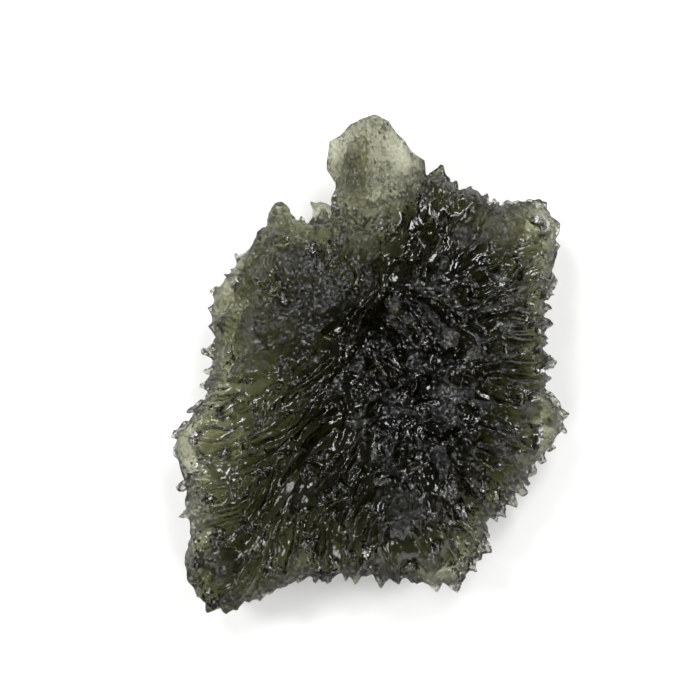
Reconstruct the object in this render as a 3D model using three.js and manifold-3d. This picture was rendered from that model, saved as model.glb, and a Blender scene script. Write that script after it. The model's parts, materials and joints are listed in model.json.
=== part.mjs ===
// A natural moldavite of the deeply etched kind that collectors call a hedgehog: one flat,
// rhombic piece of bottle-green natural glass. Acid soil ate grooves into it and left sharp
// ridges that fan out from the middle and end as thorns all round the rim.
//
// Millimetres. The stone lies on its back on z = 0 with its sculpted face up (+Z), its long
// way along Y and its thin clear flake at the +Y end. The origin is the centre of its box, at
// the surface that it lies on.
import * as THREE from "three";
import { mergeVertices } from "three/addons/utils/BufferGeometryUtils.js";
import Module from "manifold-3d";

// Driving dimensions
const REST_DEPTH = 2.9; // from the rim's middle level down to the surface it lies on
const FACE_DEPTH = 1.7; // the body's face above the rim's middle level, before its swells
const BACK_DEPTH = 2.1; // the body's back below the rim's middle level
const BODY_COLUMNS = 36; // round the body
const BODY_RINGS = [0.35, 0.62, 0.82, 0.94, 1]; // shares of the way from the middle to the rim
const BODY_MIDDLE = [0.2, -1.6];
const FACE_THORN_PITCH = 2.5; // between neighbouring thorns of the face
const FACE_THORN_RISE = 1.3; // of its tallest thorns
const BACK_THORN_PITCH = 3.2;
const BACK_THORN_RISE = 0.95;
const ROW_SHARE = 0.87; // the thorns' rows lie this share of a pitch apart
const HALF_LENGTH = 16; // of the stone, which the rows reach over
const HALF_WIDTH = 13;
const THORN_LENGTHS = [2.2, 3.5]; // shortest and longest on the face and the back
const THORN_HALF_WIDTHS = [0.8, 1.2];
const FACE_THORN_EDGE = 0.93; // how far out thorns stand, as a share of the way to the rim
const BACK_THORN_EDGE = 0.9;
const THORN_SHAKE = 0.28; // of a thorn off its place on the grid, as a share of the pitch
const THORN_TURN = 0.35; // of a thorn off the way of the ridges, in radians
const THORN_LOWEST = 0.55; // the lowest thorn's rise, as a share of the tallest one's
const THORN_ROOT = 0.7; // how deep a thorn or a ridge reaches into the body
const RIM_THORN_LENGTH = 2.7;
const RIM_THORN_HALF_WIDTH = 0.55;
const RIM_THORN_HALF_HEIGHT = 0.5;
const RIM_THORN_SHAKE = 0.3; // of a tip above or below the rim
const COMPANION_GAP = 2.5; // neighbours closer than this have a short thorn between them
const COMPANION_LEVEL = 0.75; // of the short thorn above or below the rim
const COMPANION_SETBACK = 0.7; // of its tip behind theirs

// Where the rim lies between its thorns, anticlockwise from the right of the flake.
const RIM_ROOTS = [
  [3.5, 11.2], [0.6, 10.5], [-1.6, 9.7], [-3.1, 9.1], [-4.5, 9.1], [-6.1, 9.8], [-6.8, 8.8],
  [-7.7, 7.7], [-8.5, 6.5], [-9.9, 4.8], [-10.1, 3.4], [-9.9, 1.8], [-10.1, 0.3], [-10.2, -1.1],
  [-10.6, -2.2], [-11.6, -3.4], [-12.5, -4.8], [-12.5, -5.9], [-12.0, -7.2], [-11.8, -8.9],
  [-11.5, -10.8], [-12.0, -12.5], [-11.6, -14.0], [-11.0, -15.1], [-10.1, -15.6], [-8.3, -15.0],
  [-6.4, -14.4], [-4.5, -13.8], [-2.6, -13.5], [-0.3, -13.5], [1.9, -13.7], [4.3, -14.1],
  [5.9, -13.8], [7.0, -11.9], [7.5, -10.0], [8.5, -8.8], [9.4, -7.5], [10.6, -6.4],
  [11.6, -5.2], [12.3, -4.1], [12.0, -3.0], [11.1, -1.6], [11.3, -0.3], [11.1, 1.0],
  [11.1, 2.2], [11.2, 4.0], [11.7, 5.7], [12.0, 8.3], [11.6, 10.2], [10.1, 10.3],
  [8.2, 10.2], [6.3, 10.7], [5.0, 11.1],
];

// The tips of the rim's thorns, clockwise from the flake: x, y and, where it isn't the usual
// one, the half width.
const RIM_TIPS = [
  [4.4, 12.9, 0.8], [5.5, 11.9], [6.5, 11.5, 0.7], [7.5, 11.1, 0.6], [8.1, 10.7, 0.4],
  [9.8, 10.6, 0.9], [11.5, 10.5, 1.0], [12.3, 9.2, 0.9], [12.3, 7.9, 0.8], [12.2, 5.5, 0.9],
  [11.8, 4.4, 0.4], [11.8, 3.7], [11.9, 2.7], [11.5, 1.5], [12.0, 0.1, 0.7], [11.7, -1.0, 0.4],
  [11.5, -1.8, 0.35], [12.4, -2.5, 0.7], [12.8, -3.4, 0.8], [12.92, -4.3, 0.6], [12.1, -5.5, 0.4],
  [11.5, -6.3], [10.8, -7.1, 0.8], [10.2, -8.4], [9.6, -9.2], [8.3, -9.3, 0.4], [8.2, -10.2, 0.5],
  [7.7, -11.2, 0.4], [7.2, -12.7], [6.8, -13.5], [5.6, -14.6, 0.7], [4.3, -14.6, 0.7],
  [3.0, -14.1], [1.7, -14.3], [0.7, -14.4], [-1.0, -14.2], [-1.6, -14.0, 0.4], [-2.7, -14.2],
  [-3.6, -14.2], [-4.7, -14.2], [-5.6, -14.4], [-6.5, -14.8], [-8.0, -15.3, 0.8],
  [-9.5, -16.0, 0.7], [-10.5, -15.9, 0.8], [-12.1, -12.8, 1.1], [-12.3, -9.8, 0.5],
  [-12.0, -8.6, 0.6], [-12.5, -7.9], [-12.2, -6.8, 0.4], [-12.92, -5.7, 0.9], [-12.8, -4.6, 0.8],
  [-11.8, -3.0], [-11.1, -1.4], [-10.9, -0.5], [-10.9, 0.8, 0.65], [-10.5, 2.4, 0.6],
  [-10.5, 3.7, 0.7], [-10.4, 4.9, 0.5], [-9.0, 6.3, 0.5], [-8.7, 7.3, 0.6], [-7.3, 8.4, 0.6],
  [-6.2, 10.3, 0.6], [-5.6, 10.2, 0.6], [-4.5, 9.5, 0.4],
];

// Swells and hollows of the face: x, y, radius, height.
const FACE_SWELLS = [
  [4.4, -2.2, 6.5, 2.3], [6.6, 4.6, 5.0, 1.6], [1.5, -7.5, 5.0, 1.5], [-6.1, 1.0, 4.2, 1.2],
  [-5.4, 6.0, 3.2, 1.1], [-7.6, -5.6, 3.6, 0.8], [-9.6, -12.6, 3.0, 0.5], [-0.4, 8.8, 1.7, 1.3],
  [-1.4, 5.4, 2.2, 1.0],
  // The gully that runs down from the flake between the thin left lobe and the thick right one
  [2.6, 9.3, 1.7, -1.3], [1.2, 6.4, 1.8, -1.4], [-0.8, 3.3, 1.8, -1.3], [-2.8, 0.3, 1.7, -1.2],
  [-4.7, -3.2, 1.6, -0.9], [-6.8, -7.2, 1.5, -0.7],
];

// Hollows of the back, which leave the left lobe a thin wing that lets light through: x, y,
// radius, depth.
const BACK_HOLLOWS = [[-7.0, -3.0, 4.4, 1.2], [-6.6, 4.6, 3.6, 1.0], [-8.6, -11.0, 3.6, 0.9]];

// The way the ridges run, read at a few places: x, y, direction in degrees from +X. They point
// outwards, because the thorns do.
const GRAIN = [
  [-9.9, 4.1, 165], [-9.9, 1.0, 180], [-9.9, -2.2, 190], [-11.1, -5.4, 185], [-10.8, -7.9, 188],
  [-9.2, -9.8, 195], [-10.8, -12.4, 190], [-10.5, -15.5, 235], [-7.0, 0.3, 200], [-6.7, -3.5, 213],
  [-7.6, -5.7, 208], [-4.5, -2.2, 225], [-2.6, 1.0, 235], [-7.3, -8.6, 240], [-6.4, -12.4, 245],
  [-4.5, -11.1, 250], [-2.6, -13.0, 265], [-1.3, -7.3, 245], [0.6, -11.7, 262], [2.5, -13.0, 272],
  [4.4, -11.1, 290], [1.9, -8.6, 270], [4.4, -13.7, 280], [5.7, -8.6, 305], [7.0, -11.1, 310],
  [7.6, -7.3, 318], [8.2, -5.4, 333], [10.1, -6.7, 330], [10.8, -4.1, 345], [7.0, -2.2, 350],
  [9.5, -0.3, 0], [7.6, 1.6, 2], [10.8, 4.1, 5], [9.5, 6.7, 25], [11.4, 8.6, 30], [8.2, 9.2, 50],
  [7.0, 10.5, 75], [4.4, 11.1, 95], [4.4, 7.3, 60], [1.9, 2.2, 306], [3.1, -0.3, 300],
  [3.8, 2.2, 320], [-4.5, 6.0, 112], [-7.0, 7.3, 122], [-5.7, 9.5, 100], [-1.9, 7.3, 85],
  [-0.3, 10.2, 90], [-1.3, 4.1, 240], [0.6, 4.8, 250],
];

// Long ridges that stand out: start, middle and end of the crest, half width, height.
const LONG_RIDGES = [
  [[-2.4, 0.2], [-3.7, -0.9], [-5.2, -1.7], 0.5, 0.8],
  [[-6.1, 1.1], [-7.5, 0.5], [-8.6, -0.6], 0.4, 0.6],
  [[-4.5, -1.8], [-6.2, -3.8], [-8.3, -4.9], 0.6, 1.0],
  [[-2.6, -1.3], [-4.7, -3.9], [-7.2, -5.3], 0.5, 0.9],
  [[-5.1, -4.8], [-6.5, -5.9], [-8.3, -6.7], 0.5, 0.8],
  [[-8.0, -8.6], [-9.4, -9.3], [-10.8, -9.5], 0.45, 0.7],
  [[-8.1, -9.4], [-9.5, -10.0], [-10.8, -10.3], 0.45, 0.7],
  [[-6.9, -7.3], [-7.4, -8.4], [-8.1, -9.3], 0.5, 0.8],
  [[-6.1, -6.7], [-6.4, -8.2], [-7.3, -9.8], 0.5, 0.8],
  [[-8.5, -7.6], [-9.6, -7.9], [-10.5, -7.9], 0.4, 0.6],
  [[-7.3, 5.2], [-6.3, 4.6], [-5.1, 4.1], 0.4, 0.6],
  [[-1.6, 7.9], [-1.9, 7.0], [-2.4, 6.0], 0.5, 0.7],
  [[-1.6, -5.4], [-2.6, -7.0], [-3.7, -8.3], 0.4, 0.9],
  [[-1.6, -8.3], [-3.0, -9.3], [-4.0, -10.8], 0.4, 0.9],
  [[-0.7, -6.7], [-1.4, -8.3], [-1.9, -9.8], 0.5, 0.9],
  [[1.4, -4.1], [1.2, -5.7], [0.2, -6.8], 0.4, 1.0],
  [[-5.7, -9.8], [-6.2, -11.0], [-6.9, -12.4], 0.5, 0.9],
  [[-4.5, -9.8], [-4.9, -11.4], [-5.4, -13.0], 0.5, 0.9],
  [[-2.6, -9.8], [-2.8, -11.3], [-3.1, -12.7], 0.5, 0.9],
  [[0.6, -8.6], [0.2, -10.0], [-0.3, -11.4], 0.5, 0.9],
  [[0.1, -11.4], [-0.3, -12.4], [-0.8, -13.3], 0.45, 0.8],
  [[-7.0, -13.2], [-8.2, -14.5], [-9.4, -15.6], 0.45, 0.8],
  [[2.1, 3.8], [3.4, 2.4], [4.2, 0.8], 0.4, 1.1],
  [[3.0, 4.3], [4.4, 4.0], [5.4, 3.0], 0.4, 0.9],
  [[5.6, 3.0], [6.0, 2.0], [6.6, 1.3], 0.45, 0.9],
  [[5.7, 3.4], [8.0, 4.6], [10.1, 7.0], 0.5, 1.0],
  [[7.0, 2.5], [8.9, 2.7], [10.8, 2.7], 0.5, 1.0],
  [[6.6, 1.6], [8.8, 1.7], [11.1, 1.6], 0.45, 0.9],
  [[6.3, 0.0], [8.8, 0.2], [11.4, 0.2], 0.5, 1.0],
  [[6.6, -0.8], [8.9, -0.9], [11.1, -1.0], 0.45, 0.9],
  [[6.8, -3.8], [8.9, -4.6], [10.4, -5.4], 0.5, 0.9],
  [[5.8, -4.8], [7.1, -5.4], [8.5, -6.3], 0.5, 0.9],
  [[5.8, -6.7], [6.3, -7.5], [7.0, -8.3], 0.5, 0.9],
  [[7.3, -6.3], [8.2, -7.0], [9.0, -7.9], 0.5, 0.9],
  [[4.4, -8.6], [4.9, -9.2], [5.2, -9.8], 0.45, 0.8],
  [[2.0, -7.3], [2.3, -7.9], [2.4, -8.9], 0.45, 0.8],
  [[2.9, -2.6], [4.4, -2.0], [5.6, -2.3], 0.4, 0.9],
  [[0.0, 1.6], [0.7, 0.4], [1.9, -0.6], 0.4, 0.9],
];

// The thin clear flake at the top, the rib that thickens its left half and the tooth beside it.
const FLAKE_OUTLINE = [
  [-1.7, 10.2], [-0.7, 8.9], [1.9, 8.9], [3.9, 10.5], [3.6, 12.0], [3.5, 13.1], [2.7, 13.6],
  [2.2, 14.4], [1.6, 14.9], [1.2, 15.6], [0.3, 16.03], [-0.5, 15.8], [-1.3, 15.4], [-1.9, 14.7],
  [-2.6, 14.3], [-2.8, 12.9], [-2.8, 12.5], [-2.1, 11.4],
];
const FLAKE_RIB_OUTLINE = [
  [-1.8, 10.2], [-1.5, 8.9], [-0.7, 8.9], [-0.3, 10.5], [-0.3, 13.0], [-0.1, 14.4],
  [-0.6, 14.7], [-1.3, 14.2], [-1.8, 13.0], [-2.0, 11.6],
];
const TOOTH_OUTLINE = [
  [-4.0, 8.9], [-2.3, 8.4], [-2.4, 10.0], [-2.8, 10.5], [-3.3, 10.4], [-3.8, 10.5], [-3.7, 9.5],
];

// Each slab's thickness, the chamfer of its edges, the level of its foot and its tilt in degrees.
const FLAKE = { thickness: 0.9, chamfer: 0.28, level: 0.3, tilt: 7 };
const FLAKE_RIB = { thickness: 1.7, chamfer: 0.4, level: 0.8, tilt: 7 };
const TOOTH = { thickness: 0.8, chamfer: 0.25, level: 0.2, tilt: 5 };

// Blunt oval lumps of the back that the stone lies on, worn flat: x, y and the way that they are
// long, in degrees.
const WORN_LUMPS = [[-3.6, -7.8, 240], [6.0, -5.6, 320], [5.4, 4.8, 40], [-3.2, 4.2, 150]];
const WORN_LUMP_RADIUS = 1.1; // of the flat, before it is drawn out long
const WORN_LUMP_FLARE = 1.2; // how much wider the lump is inside the body
const WORN_LUMP_STRETCH = [1.5, 0.85]; // along and across
const WORN_LUMP_DROP = 0.3; // of its foot below the surface that wears it flat

const wasm = await Module();
wasm.setup();

// Repeatable random numbers from 0 to 1.
let randomState = 20263;
function random() {
  randomState = (randomState * 1664525 + 1013904223) % 4294967296;
  return randomState / 4294967296;
}
const between = (low, high) => low + (high - low) * random();

const [middleX, middleY] = BODY_MIDDLE;
const rimByAngle = RIM_ROOTS.map(([x, y]) => ({
  angle: Math.atan2(y - middleY, x - middleX),
  radius: Math.hypot(x - middleX, y - middleY),
})).sort((a, b) => a.angle - b.angle);

// The rim's distance from the middle in one direction.
function rimRadius(angle) {
  const after = rimByAngle.findIndex((r) => r.angle > angle);
  const b = rimByAngle[after < 0 ? 0 : after];
  const a = rimByAngle[after <= 0 ? rimByAngle.length - 1 : after - 1];
  const turn = 2 * Math.PI;
  const span = (b.angle - a.angle + turn) % turn;
  const share = ((angle - a.angle + turn) % turn) / span;
  return a.radius + (b.radius - a.radius) * share;
}

// 0 at the middle, 1 on the rim.
function outwards(x, y) {
  const dx = x - middleX;
  const dy = y - middleY;
  return Math.hypot(dx, dy) / rimRadius(Math.atan2(dy, dx));
}

const rimLevel = (x, y) => 0.3 * Math.sin(0.31 * x + 0.9) + 0.25 * Math.cos(0.27 * y - 0.5);
const dome = (share, power) => Math.sqrt(Math.max(0, 1 - share ** power));

// The summed height of round swells at a point.
function swell(swells, x, y) {
  return swells.reduce(
    (sum, [sx, sy, radius, height]) =>
      sum + height * Math.exp(-((x - sx) ** 2 + (y - sy) ** 2) / radius ** 2),
    0,
  );
}

function faceHeight(x, y) {
  return rimLevel(x, y) + dome(outwards(x, y), 3) * (FACE_DEPTH + swell(FACE_SWELLS, x, y));
}

function backHeight(x, y) {
  const share = outwards(x, y);
  const depth = BACK_DEPTH - swell(BACK_HOLLOWS, x, y);
  return rimLevel(x, y) * Math.min(share, 1) ** 3 - dome(share, 6) * depth;
}

// The outward direction of the face or the back at a point.
function surfaceNormal(height, x, y, side) {
  const step = 0.05;
  const slopeX = (height(x + step, y) - height(x - step, y)) / (2 * step);
  const slopeY = (height(x, y + step) - height(x, y - step)) / (2 * step);
  return new THREE.Vector3(-slopeX * side, -slopeY * side, side).normalize();
}

// The direction of the ridges at a point, from the readings near it.
function grain(x, y) {
  let east = 0;
  let north = 0;
  for (const [gx, gy, degrees] of GRAIN) {
    const weight = 1 / ((x - gx) ** 2 + (y - gy) ** 2 + 0.3) ** 1.5;
    const radians = THREE.MathUtils.degToRad(degrees);
    east += weight * Math.cos(radians);
    north += weight * Math.sin(radians);
  }
  return Math.atan2(north, east);
}

// A closed solid from a three.js geometry.
function solid(geometry) {
  const bare = geometry.clone();
  bare.deleteAttribute("normal");
  bare.deleteAttribute("uv");
  const merged = mergeVertices(bare, 1e-3);
  return new wasm.Manifold(
    new wasm.Mesh({
      numProp: 3,
      vertProperties: merged.getAttribute("position").array,
      triVerts: new Uint32Array(merged.index.array),
    }),
  );
}

function geometryOf(made) {
  const mesh = made.getMesh();
  return new THREE.BufferGeometry()
    .setAttribute("position", new THREE.BufferAttribute(mesh.vertProperties, 3))
    .setIndex(new THREE.BufferAttribute(mesh.triVerts, 1));
}

function indexedGeometry(points, triangles) {
  return new THREE.BufferGeometry()
    .setAttribute("position", new THREE.Float32BufferAttribute(points.flat(), 3))
    .setIndex(triangles.flat());
}

// The lens-shaped body: rings of points on the face and the back that meet on the rim.
function bodySolid() {
  const points = [[middleX, middleY, faceHeight(middleX, middleY)]];
  const triangles = [];
  const rings = [];
  const addRing = (share, height) => {
    rings.push(points.length);
    for (let i = 0; i < BODY_COLUMNS; i++) {
      const angle = -Math.PI + ((i + 0.5) / BODY_COLUMNS) * 2 * Math.PI;
      const radius = share * rimRadius(angle);
      const x = middleX + radius * Math.cos(angle);
      const y = middleY + radius * Math.sin(angle);
      points.push([x, y, height(x, y)]);
    }
  };
  BODY_RINGS.forEach((share) => addRing(share, faceHeight));
  [...BODY_RINGS].reverse().slice(1).forEach((share) => addRing(share, backHeight));
  const last = points.length;
  points.push([middleX, middleY, backHeight(middleX, middleY)]);
  for (let i = 0; i < BODY_COLUMNS; i++) {
    const next = (i + 1) % BODY_COLUMNS;
    triangles.push([0, rings[0] + i, rings[0] + next]);
    for (let r = 0; r + 1 < rings.length; r++) {
      triangles.push([rings[r] + i, rings[r + 1] + i, rings[r + 1] + next]);
      triangles.push([rings[r] + i, rings[r + 1] + next, rings[r] + next]);
    }
    triangles.push([rings.at(-1) + i, last, rings.at(-1) + next]);
  }
  return solid(indexedGeometry(points, triangles));
}

// A shard runs from a sharp heel through kite-shaped sections to a sharp tip. Each section is
// its left, crest, right and keel points.
function shard(heel, sections, tip) {
  const points = [heel, ...sections.flat(), tip].map((p) => p.toArray());
  const triangles = [];
  const last = points.length - 1;
  for (let k = 0; k < 4; k++) {
    const next = (k + 1) % 4;
    triangles.push([0, 1 + next, 1 + k]);
    for (let s = 0; s + 1 < sections.length; s++) {
      const a = 1 + 4 * s;
      const b = a + 4;
      triangles.push([a + k, b + next, b + k], [a + k, a + next, b + next]);
    }
    triangles.push([last, last - 4 + k, last - 4 + next]);
  }
  return solid(indexedGeometry(points, triangles));
}

function section(centre, side, up, halfWidth, rise, sink) {
  const at = (sideways, upwards) =>
    centre.clone().addScaledVector(side, sideways).addScaledVector(up, upwards);
  return [at(halfWidth, -sink * 0.4), at(0, rise), at(-halfWidth, -sink * 0.4), at(0, -sink)];
}

// A thorn that leans outwards from the face or the back.
function surfaceThorn(height, side, x, y, direction, length, halfWidth, rise) {
  const up = surfaceNormal(height, x, y, side);
  const along = new THREE.Vector3(Math.cos(direction), Math.sin(direction), 0);
  along.addScaledVector(up, -along.dot(up)).normalize();
  const across = new THREE.Vector3().crossVectors(up, along);
  const foot = new THREE.Vector3(x, y, height(x, y));
  const heel = foot.clone().addScaledVector(along, -0.5 * length).addScaledVector(up, -0.15);
  const waist = foot.clone().addScaledVector(along, 0.15 * length);
  const tip = foot.clone().addScaledVector(along, 0.55 * length).addScaledVector(up, rise);
  return shard(heel, [section(waist, across, up, halfWidth, 0.75 * rise, THORN_ROOT)], tip);
}

// Thorns on a staggered grid that is shaken a little, over the face or the back.
function surfaceThorns(height, side, pitch, edge, tallest) {
  const thorns = [];
  const rows = Math.ceil(HALF_LENGTH / (ROW_SHARE * pitch));
  const columns = Math.ceil(HALF_WIDTH / pitch);
  for (let row = -rows; row <= rows; row++) {
    for (let column = -columns; column <= columns; column++) {
      const stagger = row % 2 ? 0.5 : 0;
      const x = (column + stagger + between(-THORN_SHAKE, THORN_SHAKE)) * pitch;
      const y = (row * ROW_SHARE + between(-THORN_SHAKE, THORN_SHAKE)) * pitch;
      const direction = grain(x, y) + between(-THORN_TURN, THORN_TURN);
      const length = between(...THORN_LENGTHS);
      const halfWidth = between(...THORN_HALF_WIDTHS);
      const rise = between(THORN_LOWEST, 1) * tallest;
      if (outwards(x, y) < edge)
        thorns.push(surfaceThorn(height, side, x, y, direction, length, halfWidth, rise));
    }
  }
  return thorns;
}

// The rim's thorns, and a shorter one above or below between each two neighbours.
function rimThorns() {
  const thorns = [];
  const add = (x, y, level, halfWidth, shorter) => {
    const direction = grain(x, y);
    const along = new THREE.Vector3(Math.cos(direction), Math.sin(direction), 0);
    const across = new THREE.Vector3(-along.y, along.x, 0);
    const up = new THREE.Vector3(0, 0, 1);
    const tip = new THREE.Vector3(x, y, level).addScaledVector(along, -shorter);
    const heel = tip.clone().addScaledVector(along, -RIM_THORN_LENGTH);
    const waist = tip.clone().addScaledVector(along, -0.5 * RIM_THORN_LENGTH);
    const height = RIM_THORN_HALF_HEIGHT;
    thorns.push(shard(heel, [section(waist, across, up, halfWidth, height, height)], tip));
  };
  RIM_TIPS.forEach(([x, y, halfWidth = RIM_THORN_HALF_WIDTH], i) => {
    const level = rimLevel(x, y);
    add(x, y, level + between(-RIM_THORN_SHAKE, RIM_THORN_SHAKE), halfWidth, 0);
    const [nextX, nextY] = RIM_TIPS[(i + 1) % RIM_TIPS.length];
    if (Math.hypot(nextX - x, nextY - y) >= COMPANION_GAP) return;
    const [midX, midY] = [(x + nextX) / 2, (y + nextY) / 2];
    const above = i % 2 ? COMPANION_LEVEL : -COMPANION_LEVEL;
    add(midX, midY, level + above, RIM_THORN_HALF_WIDTH, COMPANION_SETBACK);
  });
  return thorns;
}

function longRidge([start, middle, end, halfWidth, rise]) {
  const curve = new THREE.CatmullRomCurve3(
    [start, middle, end].map(([x, y]) => new THREE.Vector3(x, y, 0)),
  );
  const onFace = (share, above) => {
    const p = curve.getPoint(share);
    return new THREE.Vector3(p.x, p.y, faceHeight(p.x, p.y) + above);
  };
  const sections = [[0.2, 0.75], [0.5, 1], [0.8, 0.95]].map(([share, height]) => {
    const p = onFace(share, 0);
    const way = curve.getTangent(share);
    const across = new THREE.Vector3(-way.y, way.x, 0).normalize();
    const up = surfaceNormal(faceHeight, p.x, p.y, 1);
    return section(p, across, up, halfWidth, height * rise, THORN_ROOT);
  });
  return shard(onFace(0, -0.1), sections, onFace(1, 0.6 * rise));
}

// A thin slab of the given outline with chamfered edges, tilted up towards +Y about its foot.
function slab(outline, { thickness, chamfer, level, tilt }) {
  const shape = new THREE.Shape(outline.map(([x, y]) => new THREE.Vector2(x, y)));
  const footY = Math.min(...outline.map(([, y]) => y));
  const geometry = new THREE.ExtrudeGeometry(shape, {
    depth: thickness - 2 * chamfer,
    bevelThickness: chamfer,
    bevelSize: chamfer,
    bevelOffset: -chamfer,
    bevelSegments: 1,
    steps: 1,
  });
  geometry.translate(0, -footY, chamfer - thickness / 2);
  geometry.rotateX(THREE.MathUtils.degToRad(tilt));
  geometry.translate(0, footY, level);
  return solid(geometry);
}

// A lump that starts inside the body and ends just below the surface that the stone lies on.
function wornLump([x, y, degrees]) {
  const inner = WORN_LUMP_RADIUS + WORN_LUMP_FLARE;
  const geometry = new THREE.CylinderGeometry(inner, WORN_LUMP_RADIUS, REST_DEPTH, 9);
  geometry.rotateX(Math.PI / 2);
  geometry.scale(...WORN_LUMP_STRETCH, 1);
  geometry.rotateZ(THREE.MathUtils.degToRad(degrees));
  geometry.translate(x, y, -REST_DEPTH / 2 - WORN_LUMP_DROP);
  return solid(geometry);
}

const pieces = [
  bodySolid(),
  slab(FLAKE_OUTLINE, FLAKE),
  slab(FLAKE_RIB_OUTLINE, FLAKE_RIB),
  slab(TOOTH_OUTLINE, TOOTH),
  ...rimThorns(),
  ...surfaceThorns(faceHeight, 1, FACE_THORN_PITCH, FACE_THORN_EDGE, FACE_THORN_RISE),
  ...LONG_RIDGES.map(longRidge),
  ...surfaceThorns(backHeight, -1, BACK_THORN_PITCH, BACK_THORN_EDGE, BACK_THORN_RISE),
  ...WORN_LUMPS.map(wornLump),
];
const rough = wasm.Manifold.union(pieces);

// What reaches below the surface that the stone lies on is worn off flat.
const GROUND_SIZE = 4 * HALF_LENGTH;
const ground = new THREE.BoxGeometry(GROUND_SIZE, GROUND_SIZE, GROUND_SIZE);
ground.translate(0, 0, -REST_DEPTH - GROUND_SIZE / 2);
const worn = rough.subtract(solid(ground)).translate(0, 0, REST_DEPTH);

const geometry = geometryOf(worn);
geometry.computeVertexNormals();

const glass = new THREE.MeshStandardMaterial({ color: 0x3a3d28, roughness: 0.3, metalness: 0 });
const moldavite = new THREE.Mesh(geometry, glass);
moldavite.name = "moldavite";

const specimen = new THREE.Group();
specimen.add(moldavite);
export default specimen;
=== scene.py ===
# %% [markdown]
# # A moldavite, from its frame to its finish
# Moldavite is natural glass. A meteorite's impact splashed it out of the ground as a melt, and
# it lay in acid soil for millions of years. The soil ate round hollows into the glass until only
# sharp crests were left between them, so a deeply etched stone looks like a hedgehog. This
# lesson dresses the plain solid of such a stone: the body, the thorns on it, the etched hollows,
# and the glass. The first cell loads the solid, which fixes the place and size of everything.

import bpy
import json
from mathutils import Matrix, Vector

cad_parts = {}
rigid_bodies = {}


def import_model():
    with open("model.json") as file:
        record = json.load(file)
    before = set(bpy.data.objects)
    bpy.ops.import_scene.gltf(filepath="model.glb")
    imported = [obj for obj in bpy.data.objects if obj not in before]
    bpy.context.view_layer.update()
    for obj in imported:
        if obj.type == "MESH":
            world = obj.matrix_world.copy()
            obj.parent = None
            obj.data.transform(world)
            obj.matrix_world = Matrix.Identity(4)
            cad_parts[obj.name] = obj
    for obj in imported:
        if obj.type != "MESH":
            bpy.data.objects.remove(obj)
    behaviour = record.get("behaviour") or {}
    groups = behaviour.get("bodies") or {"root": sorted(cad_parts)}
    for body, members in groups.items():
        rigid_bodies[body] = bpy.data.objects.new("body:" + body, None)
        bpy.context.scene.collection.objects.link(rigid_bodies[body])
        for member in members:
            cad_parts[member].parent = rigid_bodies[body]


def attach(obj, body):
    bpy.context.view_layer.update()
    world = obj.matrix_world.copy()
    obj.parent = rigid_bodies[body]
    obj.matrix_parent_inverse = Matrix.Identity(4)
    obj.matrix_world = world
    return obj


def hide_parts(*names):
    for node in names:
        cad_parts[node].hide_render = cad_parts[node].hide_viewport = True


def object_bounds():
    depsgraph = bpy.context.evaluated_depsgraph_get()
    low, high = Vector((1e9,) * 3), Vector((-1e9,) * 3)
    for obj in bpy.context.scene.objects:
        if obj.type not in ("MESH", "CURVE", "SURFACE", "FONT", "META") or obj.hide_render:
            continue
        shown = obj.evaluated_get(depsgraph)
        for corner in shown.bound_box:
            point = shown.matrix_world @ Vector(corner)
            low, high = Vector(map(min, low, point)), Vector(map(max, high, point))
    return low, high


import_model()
cad_low, cad_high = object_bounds()
print("CAD box in mm:", [round(v * 1000, 2) for v in (*cad_low, *cad_high)])

# %% Shared helpers
import json
import math

import bpy
import numpy as np
from mathutils import Matrix, Vector

MM = 0.001  # lengths below are in millimetres, and one millimetre is this many metres


def linear(hex_colour):
    """An sRGB hex colour as the linear red, green, blue and alpha that Blender's sockets take."""
    parts = [int(hex_colour[i : i + 2], 16) / 255 for i in (1, 3, 5)]
    return [p / 12.92 if p <= 0.04045 else ((p + 0.055) / 1.055) ** 2.4 for p in parts] + [1.0]


def add(tree, kind, inputs=None, **settings):
    """Adds one node. An input is a value, or another node's socket to link from."""
    made = tree.nodes.new(kind)
    for name, value in settings.items():
        setattr(made, name, value)
    for name, value in (inputs or {}).items():
        if isinstance(value, bpy.types.NodeSocket):
            tree.links.new(value, made.inputs[name])
        else:
            made.inputs[name].default_value = value
    return made


# %% [markdown]
# ## The table and the lights
# A stone like this is photographed from straight above on a plain white ground. Six soft lights
# stand round it in a ring, the strongest at its left and at its top, and little comes from
# overhead: glass shows what it mirrors, so the level parts stay dark, and only the crests and
# facets, which face every way, catch a small bright line. The table glows a little as well,
# because the ground has to be as white under the thin glass as beside it.

# %% Table
FLOOR_SIZE = 1.2  # metres
PAPER_ROUGHNESS = 0.9
PAPER_GLOW = 0.16

bpy.ops.mesh.primitive_plane_add(size=FLOOR_SIZE)
floor = bpy.context.object
floor.name = "floor"
# Paper is pulp that was pressed and dried. This one was left uncoated, so it is matt.
paper = bpy.data.materials.new("pale_paper")
paper.use_nodes = True
sheet = paper.node_tree.nodes["Principled BSDF"].inputs
sheet["Base Color"].default_value = linear("#F4F4F2")
sheet["Roughness"].default_value = PAPER_ROUGHNESS
sheet["Emission Color"].default_value = (1, 1, 1, 1)
sheet["Emission Strength"].default_value = PAPER_GLOW
floor.data.materials.append(paper)
print("table:", FLOOR_SIZE, "m wide")

# %% Lights
LIGHT_DISTANCE, LIGHT_SIZE = 0.30, 0.09  # metres
WORLD_GLOW = 0.09
# Where each light stands round the stone and how high, in degrees, and its power in watts.
RING_OF_LIGHTS = [
    (-78, 38, 0.41), (-32, 42, 0.39), (22, 42, 0.38),
    (80, 36, 0.35), (140, 36, 0.19), (215, 36, 0.20),
]


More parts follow.
